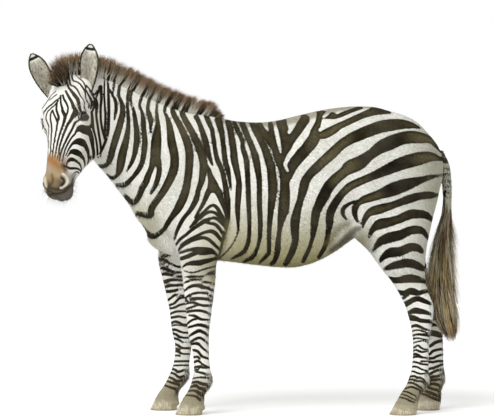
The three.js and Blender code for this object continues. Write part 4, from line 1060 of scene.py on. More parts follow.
def refine(mesh, wanted):
    """Halves the faces whose middles are wanted, and moves the new corners on to the flesh."""
    bm = bmesh.new()
    bm.from_mesh(mesh)
    bm.faces.ensure_lookup_table()
    middles = np.array([f.calc_center_median() for f in bm.faces])
    chosen = wanted(middles)
    edges = {e for f, take in zip(bm.faces, chosen) if take for e in f.edges}
    bmesh.ops.subdivide_edges(bm, edges=list(edges), cuts=1, use_grid_fill=True)
    bm.to_mesh(mesh)
    bm.free()
    p = corners_of(mesh)
    off = np.abs(flesh(p)) > 2e-5
    p[off] = settle(p[off], turns=2)[0]
    mesh.vertices.foreach_set("co", p.ravel())


def lower_legs_or_head(p):
    return (p[:, 2] < 0.5) | ((head_flesh(p) < 0.003) & (in_head(p)[0] > -0.05))


def between(values, low, high):
    return (values > low) & (values < high)


def by_thin_stripes(p):
    on_face = head_flesh(p) < 0.003
    nape = (head_flesh(p) < 0.08) & (p[:, 2] > 1.08)
    elbow = between(p[:, 1], -0.3, -0.03) & between(p[:, 2], 0.62, 0.94)
    withers = between(p[:, 1], -0.2, 0) & between(p[:, 2], 0.9, 1.17)
    close = (nape | elbow | withers) & ~on_face
    close[close] = np.abs(marks(p[close])) < 0.0045
    return close | ((p[:, 1] > 0.0) & (np.abs(ink(flat(p), body_gaps)) < 0.005))


def edges_of_the_face(p):
    t = in_head(p)[0]
    on_face = (head_flesh(p) < 0.002) & (t > 0.0)
    on_face[on_face] = (np.abs(marks(p[on_face])) < 0.0017) | (t[on_face] > 0.46)
    return on_face


eye_spots = [head_point(EYE["down"], EYE["out"], EYE["side"] * side) for side in (1, -1)]


def round_the_eyes(p):
    return np.min([np.linalg.norm(p - e, axis=1) for e in eye_spots], 0) < 0.034


for wanted in (lower_legs_or_head, by_thin_stripes, edges_of_the_face, round_the_eyes):
    refine(skin_mesh, wanted)

# The eyelids leave an almond opening over each ball, of this half length and half height.
LID_LONG, LID_HIGH = 0.0235, 0.0158
UPPER, LOWER = 1.12, 0.82  # the shares of that height above and below the eye's long axis


def look_of(side):
    """The directions of an eye: the way it looks, its long axis, and up across it."""
    gaze = 0.42 * out_of_brow + 0.9 * side * leftward
    gaze /= np.linalg.norm(gaze)
    long = 0.77 * down_face + 0.64 * (0.9 * out_of_brow - 0.42 * side * leftward)
    long -= gaze * (long @ gaze)
    long /= np.linalg.norm(long)
    up = np.cross(gaze, long) * side
    return gaze, long, up if up @ -down_face > 0 else -up


def in_eye(p, side):
    """Distance from the ball's middle, and the place round it along and across the lids."""
    gaze, long, up = look_of(side)
    d = p - eye_spots[0 if side > 0 else 1]
    r = np.linalg.norm(d, axis=1)
    facing = d @ gaze / r
    a = np.arctan2(d @ long, d @ gaze) * EYE["radius"]
    b = np.arctan2(d @ up, d @ gaze) * EYE["radius"]
    return r, facing, a, b


def almond(a, b):
    """How far out of the lids' opening a place is: 1 on its edge."""
    high = np.where(b > 0, LID_HIGH * UPPER, LID_HIGH * LOWER)
    return (np.abs(a / LID_LONG) ** 1.7 + np.abs(b / high) ** 1.9) ** (1 / 1.8)


def near_lids(side):
    """The choice of faces round one eye's lids, for refine."""
    def wanted(p):
        r, facing, a, b = in_eye(p, side)
        return (r < 0.032) & (facing > 0.1) & between(almond(a, b), 0.72, 1.5)

    return wanted


for side in (1, -1):
    refine(skin_mesh, near_lids(side))

# The ears are cupped leaves that stand on the skull behind the eyes. A row is the share of
# an ear's length, its half width and the depth of its cup there.
EAR = [(-0.1, 0.02, 0.022), (0, 0.024, 0.026), (0.15, 0.032, 0.031), (0.35, 0.039, 0.029),
       (0.55, 0.042, 0.024), (0.72, 0.039, 0.018), (0.86, 0.029, 0.011), (0.96, 0.015, 0.005),
       (1, 0.006, 0.002)]
EAR_LENGTH = 0.204
EAR_THICK = 0.0042
EARS = {1: (1, 8, 48), -1: (22, 30, -24)}  # splay, prick and turn of each, in degrees
ear_row = smooth_rows(EAR)


def ear_axes(side):
    splay, prick, turn = [math.radians(a) for a in EARS[side]]
    up = -down_face * math.cos(splay) + leftward * side * math.sin(splay)
    up = up + out_of_brow * math.tan(prick)
    up /= np.linalg.norm(up)
    facing = out_of_brow * math.cos(turn) + leftward * side * math.sin(turn)
    facing = facing - up * (facing @ up)
    facing /= np.linalg.norm(facing)
    return up, facing, np.cross(up, facing)


def ear_spot(side, share, u, depth):
    """A place on an ear: along it, across it from -1 to 1, and so far behind its inner face."""
    up, facing, across = ear_axes(side)
    width, cup = ear_row(share)
    root = head_point(0.05, -0.065, 0.094 * side)
    out = u * (width + depth * 0.5)
    back = cup * (1 - u * u) + depth
    place = root + np.multiply.outer(share * EAR_LENGTH, up) + np.multiply.outer(out, across)
    return place - np.multiply.outer(back, facing)


def ear_leaf(side):
    """An ear's corners and faces, and where each corner is: share, place across, inside."""
    shares = np.concatenate([np.linspace(-0.1, 0.9, 36), np.linspace(0.91, 1, 10)])
    u = np.linspace(-1, 1, 31)
    rim = np.sqrt(np.maximum(1 - (u * 0.98) ** 8, 0.05))
    rings, places = [], []
    for share in shares:
        row = np.full(len(u), share)
        inner = ear_spot(side, row, u, 0 * u)
        outer = ear_spot(side, row, u, EAR_THICK * rim)[::-1]
        rings.append(np.vstack([inner, outer]))
        places.append(np.column_stack([np.tile(row, 2), np.concatenate([u, u[::-1]]),
                                       np.repeat([1, 0], len(u))]))
    count = len(rings[0])
    faces = [[i * count + j, i * count + (j + 1) % count, (i + 1) * count + (j + 1) % count,
              (i + 1) * count + j] for i in range(len(rings) - 1) for j in range(count)]
    faces.append(list(range(count))[::-1])
    faces.append([(len(rings) - 1) * count + j for j in range(count)])
    return np.vstack(rings), faces, np.vstack(places)


p = corners_of(skin_mesh)
plain = len(p)
marked = marks(p)
pale, dark = hide(p, marked)

# The nostrils are pits with a thick rim, and the shut mouth is a crease.
PIT_DEEP, RIM_HIGH, CREASE_DEEP = 0.010, 0.0018, 0.0035
on_muzzle = (head_flesh(p) < 0.003) & (in_head(p)[0] > 0.36)
muzzle = p[on_muzzle]
outward = settle(muzzle, head_flesh, 1)[1]
spots = face_flat(muzzle)
pit = ink(spots, on_side([NOSTRIL]), 0.03)
crease = ink(spots, on_side([MOUTH]), 0.03)
rim = RIM_HIGH * (1 - ease(np.abs(pit - 0.009), 0.001, 0.006))
sink = PIT_DEEP * (1 - ease(pit, -0.003, 0.005)) - rim
sink = np.maximum(sink, CREASE_DEEP * (1 - ease(crease, 0.0005, 0.0045)) + np.minimum(sink, 0))
p[on_muzzle] = muzzle - outward * sink[:, None]

# The lids lie on the balls round the openings, thick at their edges, with a dark rim that
# runs out into a short line at the inner corner.
LID_RISE = [(0, -0.003), (0.92, -0.003), (1.0, -0.0004), (1.1, 0.0026), (1.28, 0.0044),
            (1.5, 0.0046), (1.75, 0.0034), (2.1, 0.0052)]
for side in (1, -1):
    r, facing, a, b = in_eye(p, side)
    edge = almond(a, b)
    near = (facing > 0.05) & (r < 0.07)
    lid = EYE["radius"] + np.interp(edge, *np.transpose(LID_RISE))
    share = np.where(near, 1 - ease(edge, 1.5, 2.7), 0)[:, None]
    centre = eye_spots[0 if side > 0 else 1]
    target = centre + (p - centre) / r[:, None] * lid[:, None]
    p = p + (target - p) * share
    rim = np.where(near, 1 - ease(edge, 1.3, 1.62), 0)
    tear_line = near & (a > 0.012) & (np.abs(b + 0.002) < 0.008)
    rim = np.maximum(rim, np.where(tear_line, 1 - ease(a, 0.03, 0.044), 0))
    pale = tinted(pale, "1c1712", rim)
    dark = tinted(dark, "1c1712", rim)
    marked = np.where(near & between(edge, 1.62, 2.15) & (b < 0.002), 0.01, marked)
    marked = np.where(near & between(edge, 1.5, 1.72) & (b > 0.004), -0.01, marked)
skin_mesh.vertices.foreach_set("co", p.ravel())

# The ears join the skin. Their rims are dark, a dark band crosses them below the pale tip,
# and their backs are barred.
bm = bmesh.new()
bm.from_mesh(skin_mesh)
for side in (1, -1):
    spots, faces, places = ear_leaf(side)
    made = [bm.verts.new(spot) for spot in spots]
    for f in faces:
        bm.faces.new([made[i] for i in f])
    share, u, inside = places.T
    rim_width = 0.0065 / ear_row(share)[0]
    edge = np.minimum((np.abs(u) - (1 - rim_width)) / rim_width, 1) * 0.003
    band = 0.006 - np.abs(share - 0.905) * EAR_LENGTH
    behind = np.maximum(np.sin(share * 38 + 1.5) * 0.006, ((share > 0.62) & (share < 0.9)) * 0.02 - 0.01)
    ear_dark = np.where(inside > 0, np.maximum(edge, band), behind)
    ear_dark = np.where((share > 0.945) & (edge < 0), -0.01, ear_dark)
    ear_dark = np.where(share > 0.988, 0.004, ear_dark)
    marked = np.append(marked, -ear_dark)
    hollow = inside * (1 - ease(np.abs(u), 0.15, 0.6)) * (1 - ease(share, 0.7, 0.85))
    ear_pale = np.tile(paint("f1efe4"), (len(spots), 1))
    ear_pale = tinted(ear_pale, "e4dfcf", 0.7 * inside * (1 - ease(share, 0.5, 0.9)))
    ear_pale = tinted(ear_pale, "5d5443", 0.5 * hollow)
    pale = np.vstack([pale, ear_pale])
    dark = np.vstack([dark, np.tile(paint("1d1a10"), (len(spots), 1))])
    p = np.vstack([p, spots])
bm.normal_update()
bm.to_mesh(skin_mesh)
bm.free()


def store(mesh, marked, pale, dark):
    """Writes the markings on a mesh: the distance to their edge and the two colours."""
    layer = mesh.attributes.new("mark", "FLOAT", "POINT")
    layer.data.foreach_set("value", np.clip(marked * 100, -2, 2).astype(np.float32))
    for name, colours in (("pale", pale), ("dark", dark)):
        layer = mesh.attributes.new(name, "FLOAT_COLOR", "POINT")
        rgba = np.column_stack([colours, np.ones(len(colours))])
        layer.data.foreach_set("color", rgba.astype(np.float32).ravel())


store(skin_mesh, marked, pale, dark)
skin_mesh.polygons.foreach_set("use_smooth", [True] * len(skin_mesh.polygons))
skin_mesh.vertices.foreach_set("co", (p + PLACE).ravel())
skin_mesh.update()


def coat_paint(name, soft, bump):
    """Short hair in the two colours of the hide, with an edge that breaks up a little."""
    material = new_material(name)
    shader, where = shading(material)
    mark = where.node("ShaderNodeAttribute", attribute_name="mark", out=2)
    pale = where.node("ShaderNodeAttribute", attribute_name="pale")
    dark = where.node("ShaderNodeAttribute", attribute_name="dark")
    ragged = mark + (where.noise(260.0, 3.0) - 0.5) * soft
    edge = ragged.step(-0.05, 0.05)
    colour = edge.mix(dark, pale)
    patch = where.noise(9.0, 4.0).step(0.3, 0.75)
    grain = where.noise(420.0, 2.0)
    colour = (patch * 0.16).mix(colour, (0.34, 0.30, 0.20, 1))
    value = grain * 0.5 + 0.74
    colour = colour.node("ShaderNodeVectorMath", {0: colour, 3: value}, operation="SCALE")
    join(colour, shader, "Base Color")
    join(grain * 0.25 + 0.62, shader, "Roughness")
    shader.inputs["Specular IOR Level"].default_value = 0.1
    hair = where.noise(900.0, 2.0)
    rough = where.node("ShaderNodeBump", {"Height": hair, "Strength": bump, "Distance": 0.002})
    join(rough, shader, "Normal")
    return material


skin_mesh.materials.append(coat_paint("hide", 0.1, 0.5))
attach(skin, "root")
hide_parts("trunk", "neck", "head", "foreleg_left", "foreleg_right",
            "hindleg_left", "hindleg_right", "tail", "ear_left", "ear_right")

# ---- Coat ----
# Short hair over the whole hide: thin overlapping tufts of solid mesh that lie along the
# body, smallest on the face and the legs. Each grows from the skin and has its markings.
PATCH = 0.003  # how wide a tuft's patch is on the unwrap of the skin
draw = np.random.default_rng(5)
bpy.ops.object.select_all(action="DESELECT")
skin.select_set(True)
bpy.context.view_layer.objects.active = skin
skin_mesh.uv_layers.new(name="OFBake")
bpy.ops.object.mode_set(mode="EDIT")
bpy.ops.mesh.select_all(action="SELECT")
bpy.ops.uv.smart_project(angle_limit=math.radians(66), island_margin=0.002)
bpy.ops.object.mode_set(mode="OBJECT")


def values_of(items, name, width, kind=float):
    out = np.empty(len(items) * width, kind)
    items.foreach_get(name, out)
    return out.reshape(-1, width) if width > 1 else out


skin_mesh.calc_loop_triangles()
skin_corners = corners_of(skin_mesh) - PLACE
skin_normals = values_of(skin_mesh.vertices, "normal", 3)
skin_uv = values_of(skin_mesh.uv_layers["OFBake"].data, "uv", 2)
triangles = values_of(skin_mesh.loop_triangles, "vertices", 3, np.int32)
triangle_loops = values_of(skin_mesh.loop_triangles, "loops", 3, np.int32)
triangle_areas = values_of(skin_mesh.loop_triangles, "area", 1)
middles = skin_corners[triangles].mean(1)
on_ear = triangles.min(1) >= plain
skin_tree = mathutils.bvhtree.BVHTree.FromPolygons(skin_corners.tolist(), triangles.tolist())
HAIRLINE = 0.05  # no hair grows lower, or inside the lids' rims
covered = middles[:, 2] > HAIRLINE
for side in (1, -1):
    r, facing, a, b = in_eye(middles, side)
    covered &= ~((facing > 0) & (r < 0.045) & (almond(a, b) <= 1.25))


def scatter(where, density):
    """Random places on the chosen triangles of the skin, with all that the skin knows there."""
    chosen = np.nonzero(where & covered)[0]
    number = np.floor(triangle_areas[chosen] * density + draw.random(len(chosen))).astype(int)
    chosen = np.repeat(chosen, number)
    u, v = draw.random((2, len(chosen)))
    over = u + v > 1
    u, v = np.where(over, 1 - u, u), np.where(over, 1 - v, v)
    shares = np.column_stack([1 - u - v, u, v])[:, :, None]
    at = triangles[chosen]
    p = (skin_corners[at] * shares).sum(1)
    normal = (skin_normals[at] * shares).sum(1)
    normal /= np.linalg.norm(normal, axis=1, keepdims=True)
    uv = (skin_uv[triangle_loops[chosen]] * shares).sum(1)
    mark_at = (marked[at][..., None] * shares).sum((1, 2))
    return p, normal, uv, [mark_at, (pale[at] * shares).sum(1), (dark[at] * shares).sum(1)]


def unit(v):
    return v / np.maximum(np.linalg.norm(v, axis=-1, keepdims=True), 1e-9)


def lean_to(way, other, share):
    return way + (np.array(other) - way) * share[:, None]


def lie(p, normal, mess):
    """The way the hair points at each place, along the skin."""
    x, y, z = p.T
    t, n, s = in_head(p)
    head = ease(0.035 - head_flesh(p), 0, 0.03) * ease(t, -0.02, 0.06)
    along = (p - NECK_BASE) @ neck_axis
    way = np.tile([0.0, 1.0, -0.3], (len(p), 1))
    way = lean_to(way, -0.8 * neck_axis + (0, 0, -0.5), ease(along, -0.02, 0.16))
    way = lean_to(way, (0, 0.25, -1), ease(y, 0.66, 0.84) * (1 - ease(z, 1.22, 1.32)))
    way = lean_to(way, (0, 0.1, -1), 1 - ease(z, 0.6, 0.92))
    way = lean_to(way, (0, 0.35, -1), ease(-y, 0.3, 0.4) * (1 - ease(z, 0.85, 1.0)))
    forward = ease(np.arctan2(-n - 0.05, np.abs(s)), -0.5, 0.7)[:, None]
    face_way = down_face * (1 - 0.45 * forward) - out_of_brow * 0.75 * forward
    face_way = face_way + leftward * np.sign(s)[:, None] * 0.35 * (1 - forward)
    way = way + (face_way - way) * head[:, None]
    way = way + draw.normal(0, mess, way.shape)
    return unit(way - normal * (way * normal).sum(1, keepdims=True))


def at_corners(values):
    """Values along each lock, repeated for the three corners of a ring and once at the tip."""
    return np.concatenate([np.repeat(values[:, :-1], 3, axis=1), values[:, -1:]], 1)


def locks(name, paths, up, width, thick, known, tone, uv, shift=0.0, taper=1.4):
    """Closed locks of hair along paths of points, flat below and ridged above, to a point.

    known holds each lock's mark and its pale and dark colour, once or for every path point.
    """
    count, steps = paths.shape[0], paths.shape[1] - 1
    step = paths[:, 1:] - paths[:, :-1]
    ahead_way = unit(step)
    side = unit(np.cross(up[:, None], ahead_way))
    ridge = np.cross(ahead_way, side)
    share = np.arange(steps) / steps
    narrow = (1 - share**taper)[None, :, None]
    half = side * (width[:, None, None] * narrow / 2)
    ring = np.stack([paths[:, :-1] - half, paths[:, :-1] + half,
                     paths[:, :-1] + shift * step + ridge * (thick[:, None, None] * narrow)], 2)
    points = np.concatenate([ring.reshape(count, -1, 3), paths[:, -1:]], 1)
    each = points.shape[1]
    tip = each - 1
    pattern = [[0, 2, 1, -1]]
    for i in range(steps - 1):
        j = 3 * i
        pattern += [[j, j + 1, j + 4, j + 3], [j + 1, j + 2, j + 5, j + 4], [j + 2, j, j + 3, j + 5]]
    j = 3 * (steps - 1)
    pattern += [[j, j + 1, tip, -1], [j + 1, j + 2, tip, -1], [j + 2, j, tip, -1]]
    pattern = np.array(pattern)
    corners = (pattern[None] + each * np.arange(count)[:, None, None]).reshape(-1, 4)
    real = np.tile(pattern, (count, 1)) >= 0
    loops = corners[real]
    sizes = real.sum(1)
    mesh = bpy.data.meshes.new(name)
    mesh.vertices.add(count * each)
    mesh.loops.add(len(loops))
    mesh.polygons.add(len(sizes))
    mesh.vertices.foreach_set("co", (points + PLACE).astype(np.float32).ravel())
    mesh.loops.foreach_set("vertex_index", loops.astype(np.int32))
    mesh.polygons.foreach_set("loop_start", (np.cumsum(sizes) - sizes).astype(np.int32))
    mesh.polygons.foreach_set("use_smooth", [True] * len(sizes))
    mesh.update(calc_edges=True)
    place = np.append(np.repeat(share, 3), 1.0)
    spot = np.column_stack([np.append(np.tile([-1, 1, 0], steps), 0) * (1 - place),
                            2 * place - 1 + np.append(np.tile([0, 0, 0.35], steps), 0)])
    patch = uv[:, None] + PATCH / 2 * spot[None]
    layer = mesh.uv_layers.new(name="OFBake")
    layer.data.foreach_set("uv", patch.reshape(-1, 2)[loops].astype(np.float32).ravel())
    mark_at, pale_at, dark_at = known
    if mark_at.ndim == 1:
        mark_at = np.repeat(mark_at[:, None], steps + 1, 1)
    if pale_at.ndim == 2:
        pale_at, dark_at = (np.repeat(c[:, None], steps + 1, 1) for c in (pale_at, dark_at))
    shade = (tone[:, None] * (0.9 + 0.16 * place)[None]).reshape(-1, 1)
    shaded_pale, shaded_dark = (np.clip(at_corners(c).reshape(-1, 3) * shade, 0, 1)
                                for c in (pale_at, dark_at))
    store(mesh, at_corners(mark_at).ravel(), shaded_pale, shaded_dark)
    thing = bpy.data.objects.new(name, mesh)
    scene.collection.objects.link(thing)
    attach(thing, "root")
    return thing


coat_hair = coat_paint("coat_hair", 0.05, 0.0)


def cover(name, where, density, long, wide, lift=0.17):
    """Lays a coat of short tufts on the chosen part of the skin, so many to a square metre."""
    p, normal, uv, known = scatter(where, density)
    way = lie(p, normal, 0.14)
    size = draw.uniform(0.75, 1.2, len(p))
    rise = lift * draw.uniform(0.5, 1.4, len(p))[:, None]
    direction = way * np.cos(rise) + normal * np.sin(rise)
    root = p - normal * 0.0007
    paths = np.stack([root, root + direction * (long * size)[:, None]], 1)
    at_root, at_tip = marks(p), marks(paths[:, 1])
    painted = np.abs(known[0] - at_root) > 0.006
    known[0] = np.column_stack([np.where(painted, known[0], m) for m in (at_root, at_tip)])
    tone = draw.normal(1, 0.08, len(p))
    full = np.full(len(p), wide)
    thing = locks(name, paths, normal, full, full * 0.45, known, tone, uv, shift=0.3)
    thing.data.materials.append(coat_hair)


x, y, z = middles.T
on_head = (head_flesh(middles) < body_flesh(middles) + 0.004) & ~on_ear
on_leg = (z < 0.62) & (tail_part(z, y, x) > 0.01) & ~on_head & ~on_ear
on_body = ~on_head & ~on_leg & ~on_ear
nape = on_body & (head_flesh(middles) < 0.08) & (z > 1.08)
elbows = on_body & between(y, -0.3, -0.03) & between(z, 0.62, 0.94)
elbows |= on_body & between(y, -0.18, 0) & between(z, 0.9, 1.16)
for name, low, high, long in (("coat_neck", -2, -0.24, 0.0125), ("coat_shoulder", -0.24, 0.12, 0.0125),
                              ("coat_barrel", 0.12, 0.54, 0.0125), ("coat_rump", 0.54, 2, 0.0155)):
    cover(name, on_body & ~nape & ~elbows & (y >= low) & (y < high), 45000, long, 0.0044)
cover("coat_nape", nape, 105000, 0.0085, 0.0027)
cover("coat_elbows", elbows, 72000, 0.009, 0.0032)
cover("coat_forelegs", on_leg & (y < 0.2), 100000, 0.0068, 0.003)
cover("coat_hindlegs", on_leg & (y >= 0.2), 100000, 0.0068, 0.003)
side_of_head = in_head(middles)[2]
cover("coat_face_left", on_head & (side_of_head >= 0), 170000, 0.0062, 0.0013, lift=0.14)
cover("coat_face_right", on_head & (side_of_head < 0), 170000, 0.0062, 0.0013, lift=0.14)

# ---- Mane ----
# The stiff standing mane: blades of hair from the crest of the neck over the poll to the
# forelock. The neck's stripes run on into it and turn brown, with golden tips.
MANE_HALF = 0.019
# The mane's height at shares of the way from withers to forelock.
MANE = [(0, 0.03), (0.03, 0.07), (0.1, 0.084), (0.3, 0.092), (0.6, 0.103), (0.85, 0.112),
        (0.94, 0.112), (1, 0.076)]
neck_row, mane_row = smooth_rows(NECK), smooth_rows(MANE)
crest_points = []
for along in (-0.048, 0.02, 0.11, 0.2, 0.29, 0.38, 0.46):
    spot = NECK_BASE + along * neck_axis + neck_row(np.array(along))[1] * neck_up
    crest_points.append(spot + (neck_bend(along), 0, 0))
for down, out in ((-0.022, -0.062), (0.008, -0.024), (0.056, 0.002)):
    crest_points.append(head_point(down, out, 0))
crest_curve = bent(np.array(crest_points), 12)
crest_run = np.append(0, np.cumsum(np.linalg.norm(np.diff(crest_curve, axis=0), axis=1)))


def along_crest(share):
    at = share * crest_run[-1]
    return np.column_stack([np.interp(at, crest_run, crest_curve[:, i]) for i in range(3)])


def nearest_uv(p):
    """The place on the skin's unwrap that is nearest to each point."""
    out = np.empty((len(p), 2))
    for i, spot in enumerate(p):
        _, _, face, _ = skin_tree.find_nearest(spot.tolist())
        out[i] = skin_uv[triangle_loops[face]].mean(0)
    return out


def fade(shares, stops):
    """Colours along a lock, from rows of [share of its length, colour]."""
    at = [s for s, _ in stops]
    colours = np.array([paint(c) for _, c in stops])
    return np.column_stack([np.interp(shares, at, colours[:, i]) for i in range(3)])


BLADES = 9600
BLADE_STEPS = 3
CLUMPS = 200
share = draw.random(BLADES)
u = draw.uniform(-1, 1, BLADES)
clump = np.floor(share * 150 + 0.8 * u + draw.normal(0, 0.4, BLADES)).astype(int) % CLUMPS
clump_grow = draw.uniform(0.9, 1.04, CLUMPS)[clump]
clump_lean = draw.normal(0, 0.09, CLUMPS)[clump]
centre = along_crest(share)
run = unit(along_crest(np.clip(share + 0.01, 0, 1)) - along_crest(np.clip(share - 0.01, 0, 1)))
across = np.array([1.0, 0, 0]) + (leftward - np.array([1.0, 0, 0])) * ease(share, 0.62, 1)[:, None]
across = unit(across - run * (across * run).sum(1, keepdims=True))
rise = unit(np.cross(run, across))
fore = ease(share, 0.9, 1.0)
root = centre + across * (u * MANE_HALF)[:, None]
root, root_normal = settle(root)
lean = (clump_lean + 0.06 - 0.25 * fore + draw.normal(0, 0.07, BLADES))[:, None]
way = unit(rise - run * lean + across * (u * (0.16 + 0.5 * fore) + draw.normal(0, 0.05, BLADES))[:, None])
tall = 0.006 + mane_row(share)[0] * clump_grow * (1 - 0.2 * u * u) * draw.uniform(0.8, 1.04, BLADES)
bow = -run * draw.normal(0.0, 0.06, BLADES)[:, None] + (0, 0, -0.03)
steps = np.arange(BLADE_STEPS + 1) / BLADE_STEPS
paths = (root - root_normal * 0.004)[:, None] + tall[:, None, None] * (
    way[:, None] * steps[None, :, None] + bow[:, None] * (steps**2)[None, :, None])
mark_at = marks(root - rise * 0.012 + across * (np.sign(u) * 0.012)[:, None])
mark_at = np.where(share > 0.72, 0.005 * np.sign(np.sin(share * 330)), mark_at)  # streaks by the poll
mark_at = np.where(fore > 0.25, -0.01, mark_at)  # a dark forelock
mark_at = np.where(draw.random(BLADES) < 0.08, -mark_at, mark_at)
pale_stops = fade(steps, [(0, "f4f1e6"), (0.42, "ddd5c4"), (0.66, "a8967c"), (0.86, "77624a"),
                          (1, "86643c")])
dark_stops = fade(steps, [(0, "1c1710"), (0.4, "2a241b"), (0.7, "4b4133"), (0.9, "5c4d3a"),
                          (1, "745636")])
known = [mark_at, np.tile(pale_stops, (BLADES, 1, 1)), np.tile(dark_stops, (BLADES, 1, 1))]
tone = draw.normal(1, 0.17, BLADES)
mane = locks("mane_hair", paths, unit(across * np.where(u > 0, 1, -1)[:, None]),
             np.full(BLADES, 0.0031), np.full(BLADES, 0.0013), known, tone, nearest_uv(root),
             taper=1.25)
hair_paint = coat_paint("hair", 0.02, 0.0)
mane.data.materials.append(hair_paint)
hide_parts("mane")

# ---- Tail tuft ----
# Long hair that hangs from the lower half of the dock: brown, black and golden strands,
# narrow at the top, full in the middle and ragged at the end. A row of the tuft is a
# height, its front and back edge there and its half width.
TUFT = [(0.325, 0.9, 0.938, 0.005), (0.345, 0.88, 0.946, 0.013), (0.388, 0.85, 0.948, 0.024),
        (0.448, 0.824, 0.945, 0.031), (0.528, 0.812, 0.939, 0.035), (0.608, 0.814, 0.933, 0.036),
        (0.688, 0.824, 0.928, 0.034), (0.768, 0.842, 0.925, 0.03), (0.848, 0.866, 0.923, 0.025),
        (0.893, 0.878, 0.922, 0.02), (1.05, 0.874, 0.918, 0.019)]
tuft_row = smooth_rows(TUFT)
STRANDS = 3600
STRAND_STEPS = 4
TAIL_LOCKS = 400  # kinds of lock, whose strands mostly share a colour
turn = draw.uniform(0, 2 * math.pi, STRANDS)
deep = np.sqrt(draw.uniform(0.15, 1, STRANDS))
high = draw.uniform(0.44, 1.04, STRANDS)
end = np.maximum(high - draw.uniform(0.13, 0.3, STRANDS), 0.3 + 0.05 * draw.random(STRANDS))
steps = np.arange(STRAND_STEPS + 1) / STRAND_STEPS
z = high[:, None] + (end - high)[:, None] * steps
front, back, half = tuft_row(z)
swell = deep[:, None] * (0.62 + 0.44 * ease(steps, 0, 1))[None]
sway = 0.16 * np.sin(9 * z + draw.uniform(0, 6, STRANDS)[:, None])
cos, sin = np.cos(turn[:, None] + sway), np.sin(turn[:, None] + sway)
paths = np.stack([half * swell * cos, (front + back) / 2 + (back - front) / 2 * swell * sin, z], -1)
outward = unit(np.column_stack([np.cos(turn), np.sin(turn), 0 * turn]))
lock = (np.floor(turn * 3.5) * 13 + np.floor(high * 11)).astype(int) % TAIL_LOCKS
kind = np.where(draw.random(STRANDS) < 0.6, draw.random(TAIL_LOCKS)[lock], draw.random(STRANDS))
mark_at = np.where(kind < 0.42 + 0.35 * ease(high, 0.75, 0.95), -0.01, 0.01)
gold = fade(steps, [(0, "7b6c50"), (0.3, "c4b48c"), (0.7, "cdb57c"), (1, "a87c3c")])
cream = fade(steps, [(0, "a09880"), (0.3, "e6e0cc"), (1, "cfc4a4")])
black = fade(steps, [(0, "1d1810"), (0.6, "2a2116"), (1, "3a2a18")])
brown = fade(steps, [(0, "2a2216"), (0.5, "5a442a"), (1, "76502a")])
pale_at = np.where((kind < 0.72)[:, None, None], gold, cream)
dark_at = np.where((kind < 0.3)[:, None, None], black, brown)
tail_hair = locks("tail_hair", paths, outward, draw.uniform(0.0022, 0.0036, STRANDS),
                  np.full(STRANDS, 0.0012), [mark_at, pale_at, dark_at],
                  draw.normal(1.05, 0.24, STRANDS), nearest_uv(paths[:, 0]), taper=1.7)
tail_hair.data.materials.append(hair_paint)
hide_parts("tail_tuft")

# Loose strands stand off the tuft on both sides.
LOOSE = 640
LOOSE_STEPS = 3
high = draw.uniform(0.42, 0.86, LOOSE)
away = np.where(draw.random(LOOSE) < 0.5, 1, -1)
front, back, half = tuft_row(high)
middle = (front + back) / 2 + away * (back - front) * 0.4
start = np.column_stack([half * draw.uniform(-0.7, 0.7, LOOSE), middle, high])
reach = np.column_stack([draw.normal(0, 0.01, LOOSE), away * draw.uniform(0.006, 0.042, LOOSE),
                         -draw.uniform(0.07, 0.15, LOOSE)])
reach[:, 2] = np.maximum(reach[:, 2], 0.3 - high)
steps = np.arange(LOOSE_STEPS + 1) / LOOSE_STEPS
paths = start[:, None] + reach[:, None] * steps[None, :, None]
paths[:, :, 1] += (away * 0.012)[:, None] * (steps * (1 - steps))[None]
pick = draw.random((LOOSE, 1, 1))
gold, cream, brown = (c[None, : LOOSE_STEPS + 1] for c in (gold, cream, brown))
colour_at = np.where(pick < 0.4, gold, np.where(pick < 0.7, cream, brown))
loose = locks("tail_loose_hair", paths, np.column_stack([0 * high, away, 0 * high]),
              np.full(LOOSE, 0.0026), np.full(LOOSE, 0.001),
              [np.full(LOOSE, 0.01), colour_at, colour_at], draw.normal(1, 0.12, LOOSE),
              nearest_uv(start), taper=1.3)
loose.data.materials.append(hair_paint)

# ---- Hooves ----
# Four horn hooves, pale and ringed, each round the end of a foot. The wall leans back from
# the toe, and its top edge drops to the heel. ground and coronet are half lengths and half
# widths, front and heel are heights, and slope is how far the toe's top stands back.
HOOF = {"ground": (0.059, 0.050), "coronet": (0.046, 0.042), "front": 0.060, "heel": 0.033,
        "toe": {"fore": -0.296, "hind": 0.640}, "slope": {"fore": 0.029, "hind": 0.033}, "side": 0.098}
HOOF_STEPS = 26


def horn_paint():
    material = new_material("horn")
    shader, where = shading(material)
    height = where.node("ShaderNodeSeparateXYZ", {0: where}, out=2)
    stretched = where.node("ShaderNodeMapping", {"Vector": where, "Scale": (1.0, 1.0, 0.12)})
    streak = stretched.noise(210.0, 4.0)
    cloud = where.noise(38.0, 3.0)
    wavy = height * 1100.0 + cloud * 5.0
    ring = wavy.math("SINE") * 0.5 + 0.5
    colour = streak.step(0.3, 0.72).mix((0.30, 0.25, 0.15, 1), (0.62, 0.56, 0.40, 1))
    colour = (cloud.step(0.45, 0.75) * 0.55).mix(colour, (0.72, 0.69, 0.56, 1))
    colour = (ring * 0.22).mix(colour, (0.22, 0.18, 0.11, 1))
    # Painted shade darkens the top of the wall, below the coronet.
    colour = (height.step(0.026, 0.052) * 0.55).mix(colour, (0.13, 0.11, 0.07, 1))
    # Darker towards the ground.
    near_ground = height.step(0.012, 0.0)
    colour = (near_ground * 0.6).mix(colour, (0.16, 0.12, 0.06, 1))
    join(colour, shader, "Base Color")
    join(cloud * 0.3 + 0.35, shader, "Roughness")
    bump = where.node("ShaderNodeBump",
                      {"Height": ring + streak * 0.8, "Strength": 0.35, "Distance": 0.0015})
    join(bump, shader, "Normal")
    return material


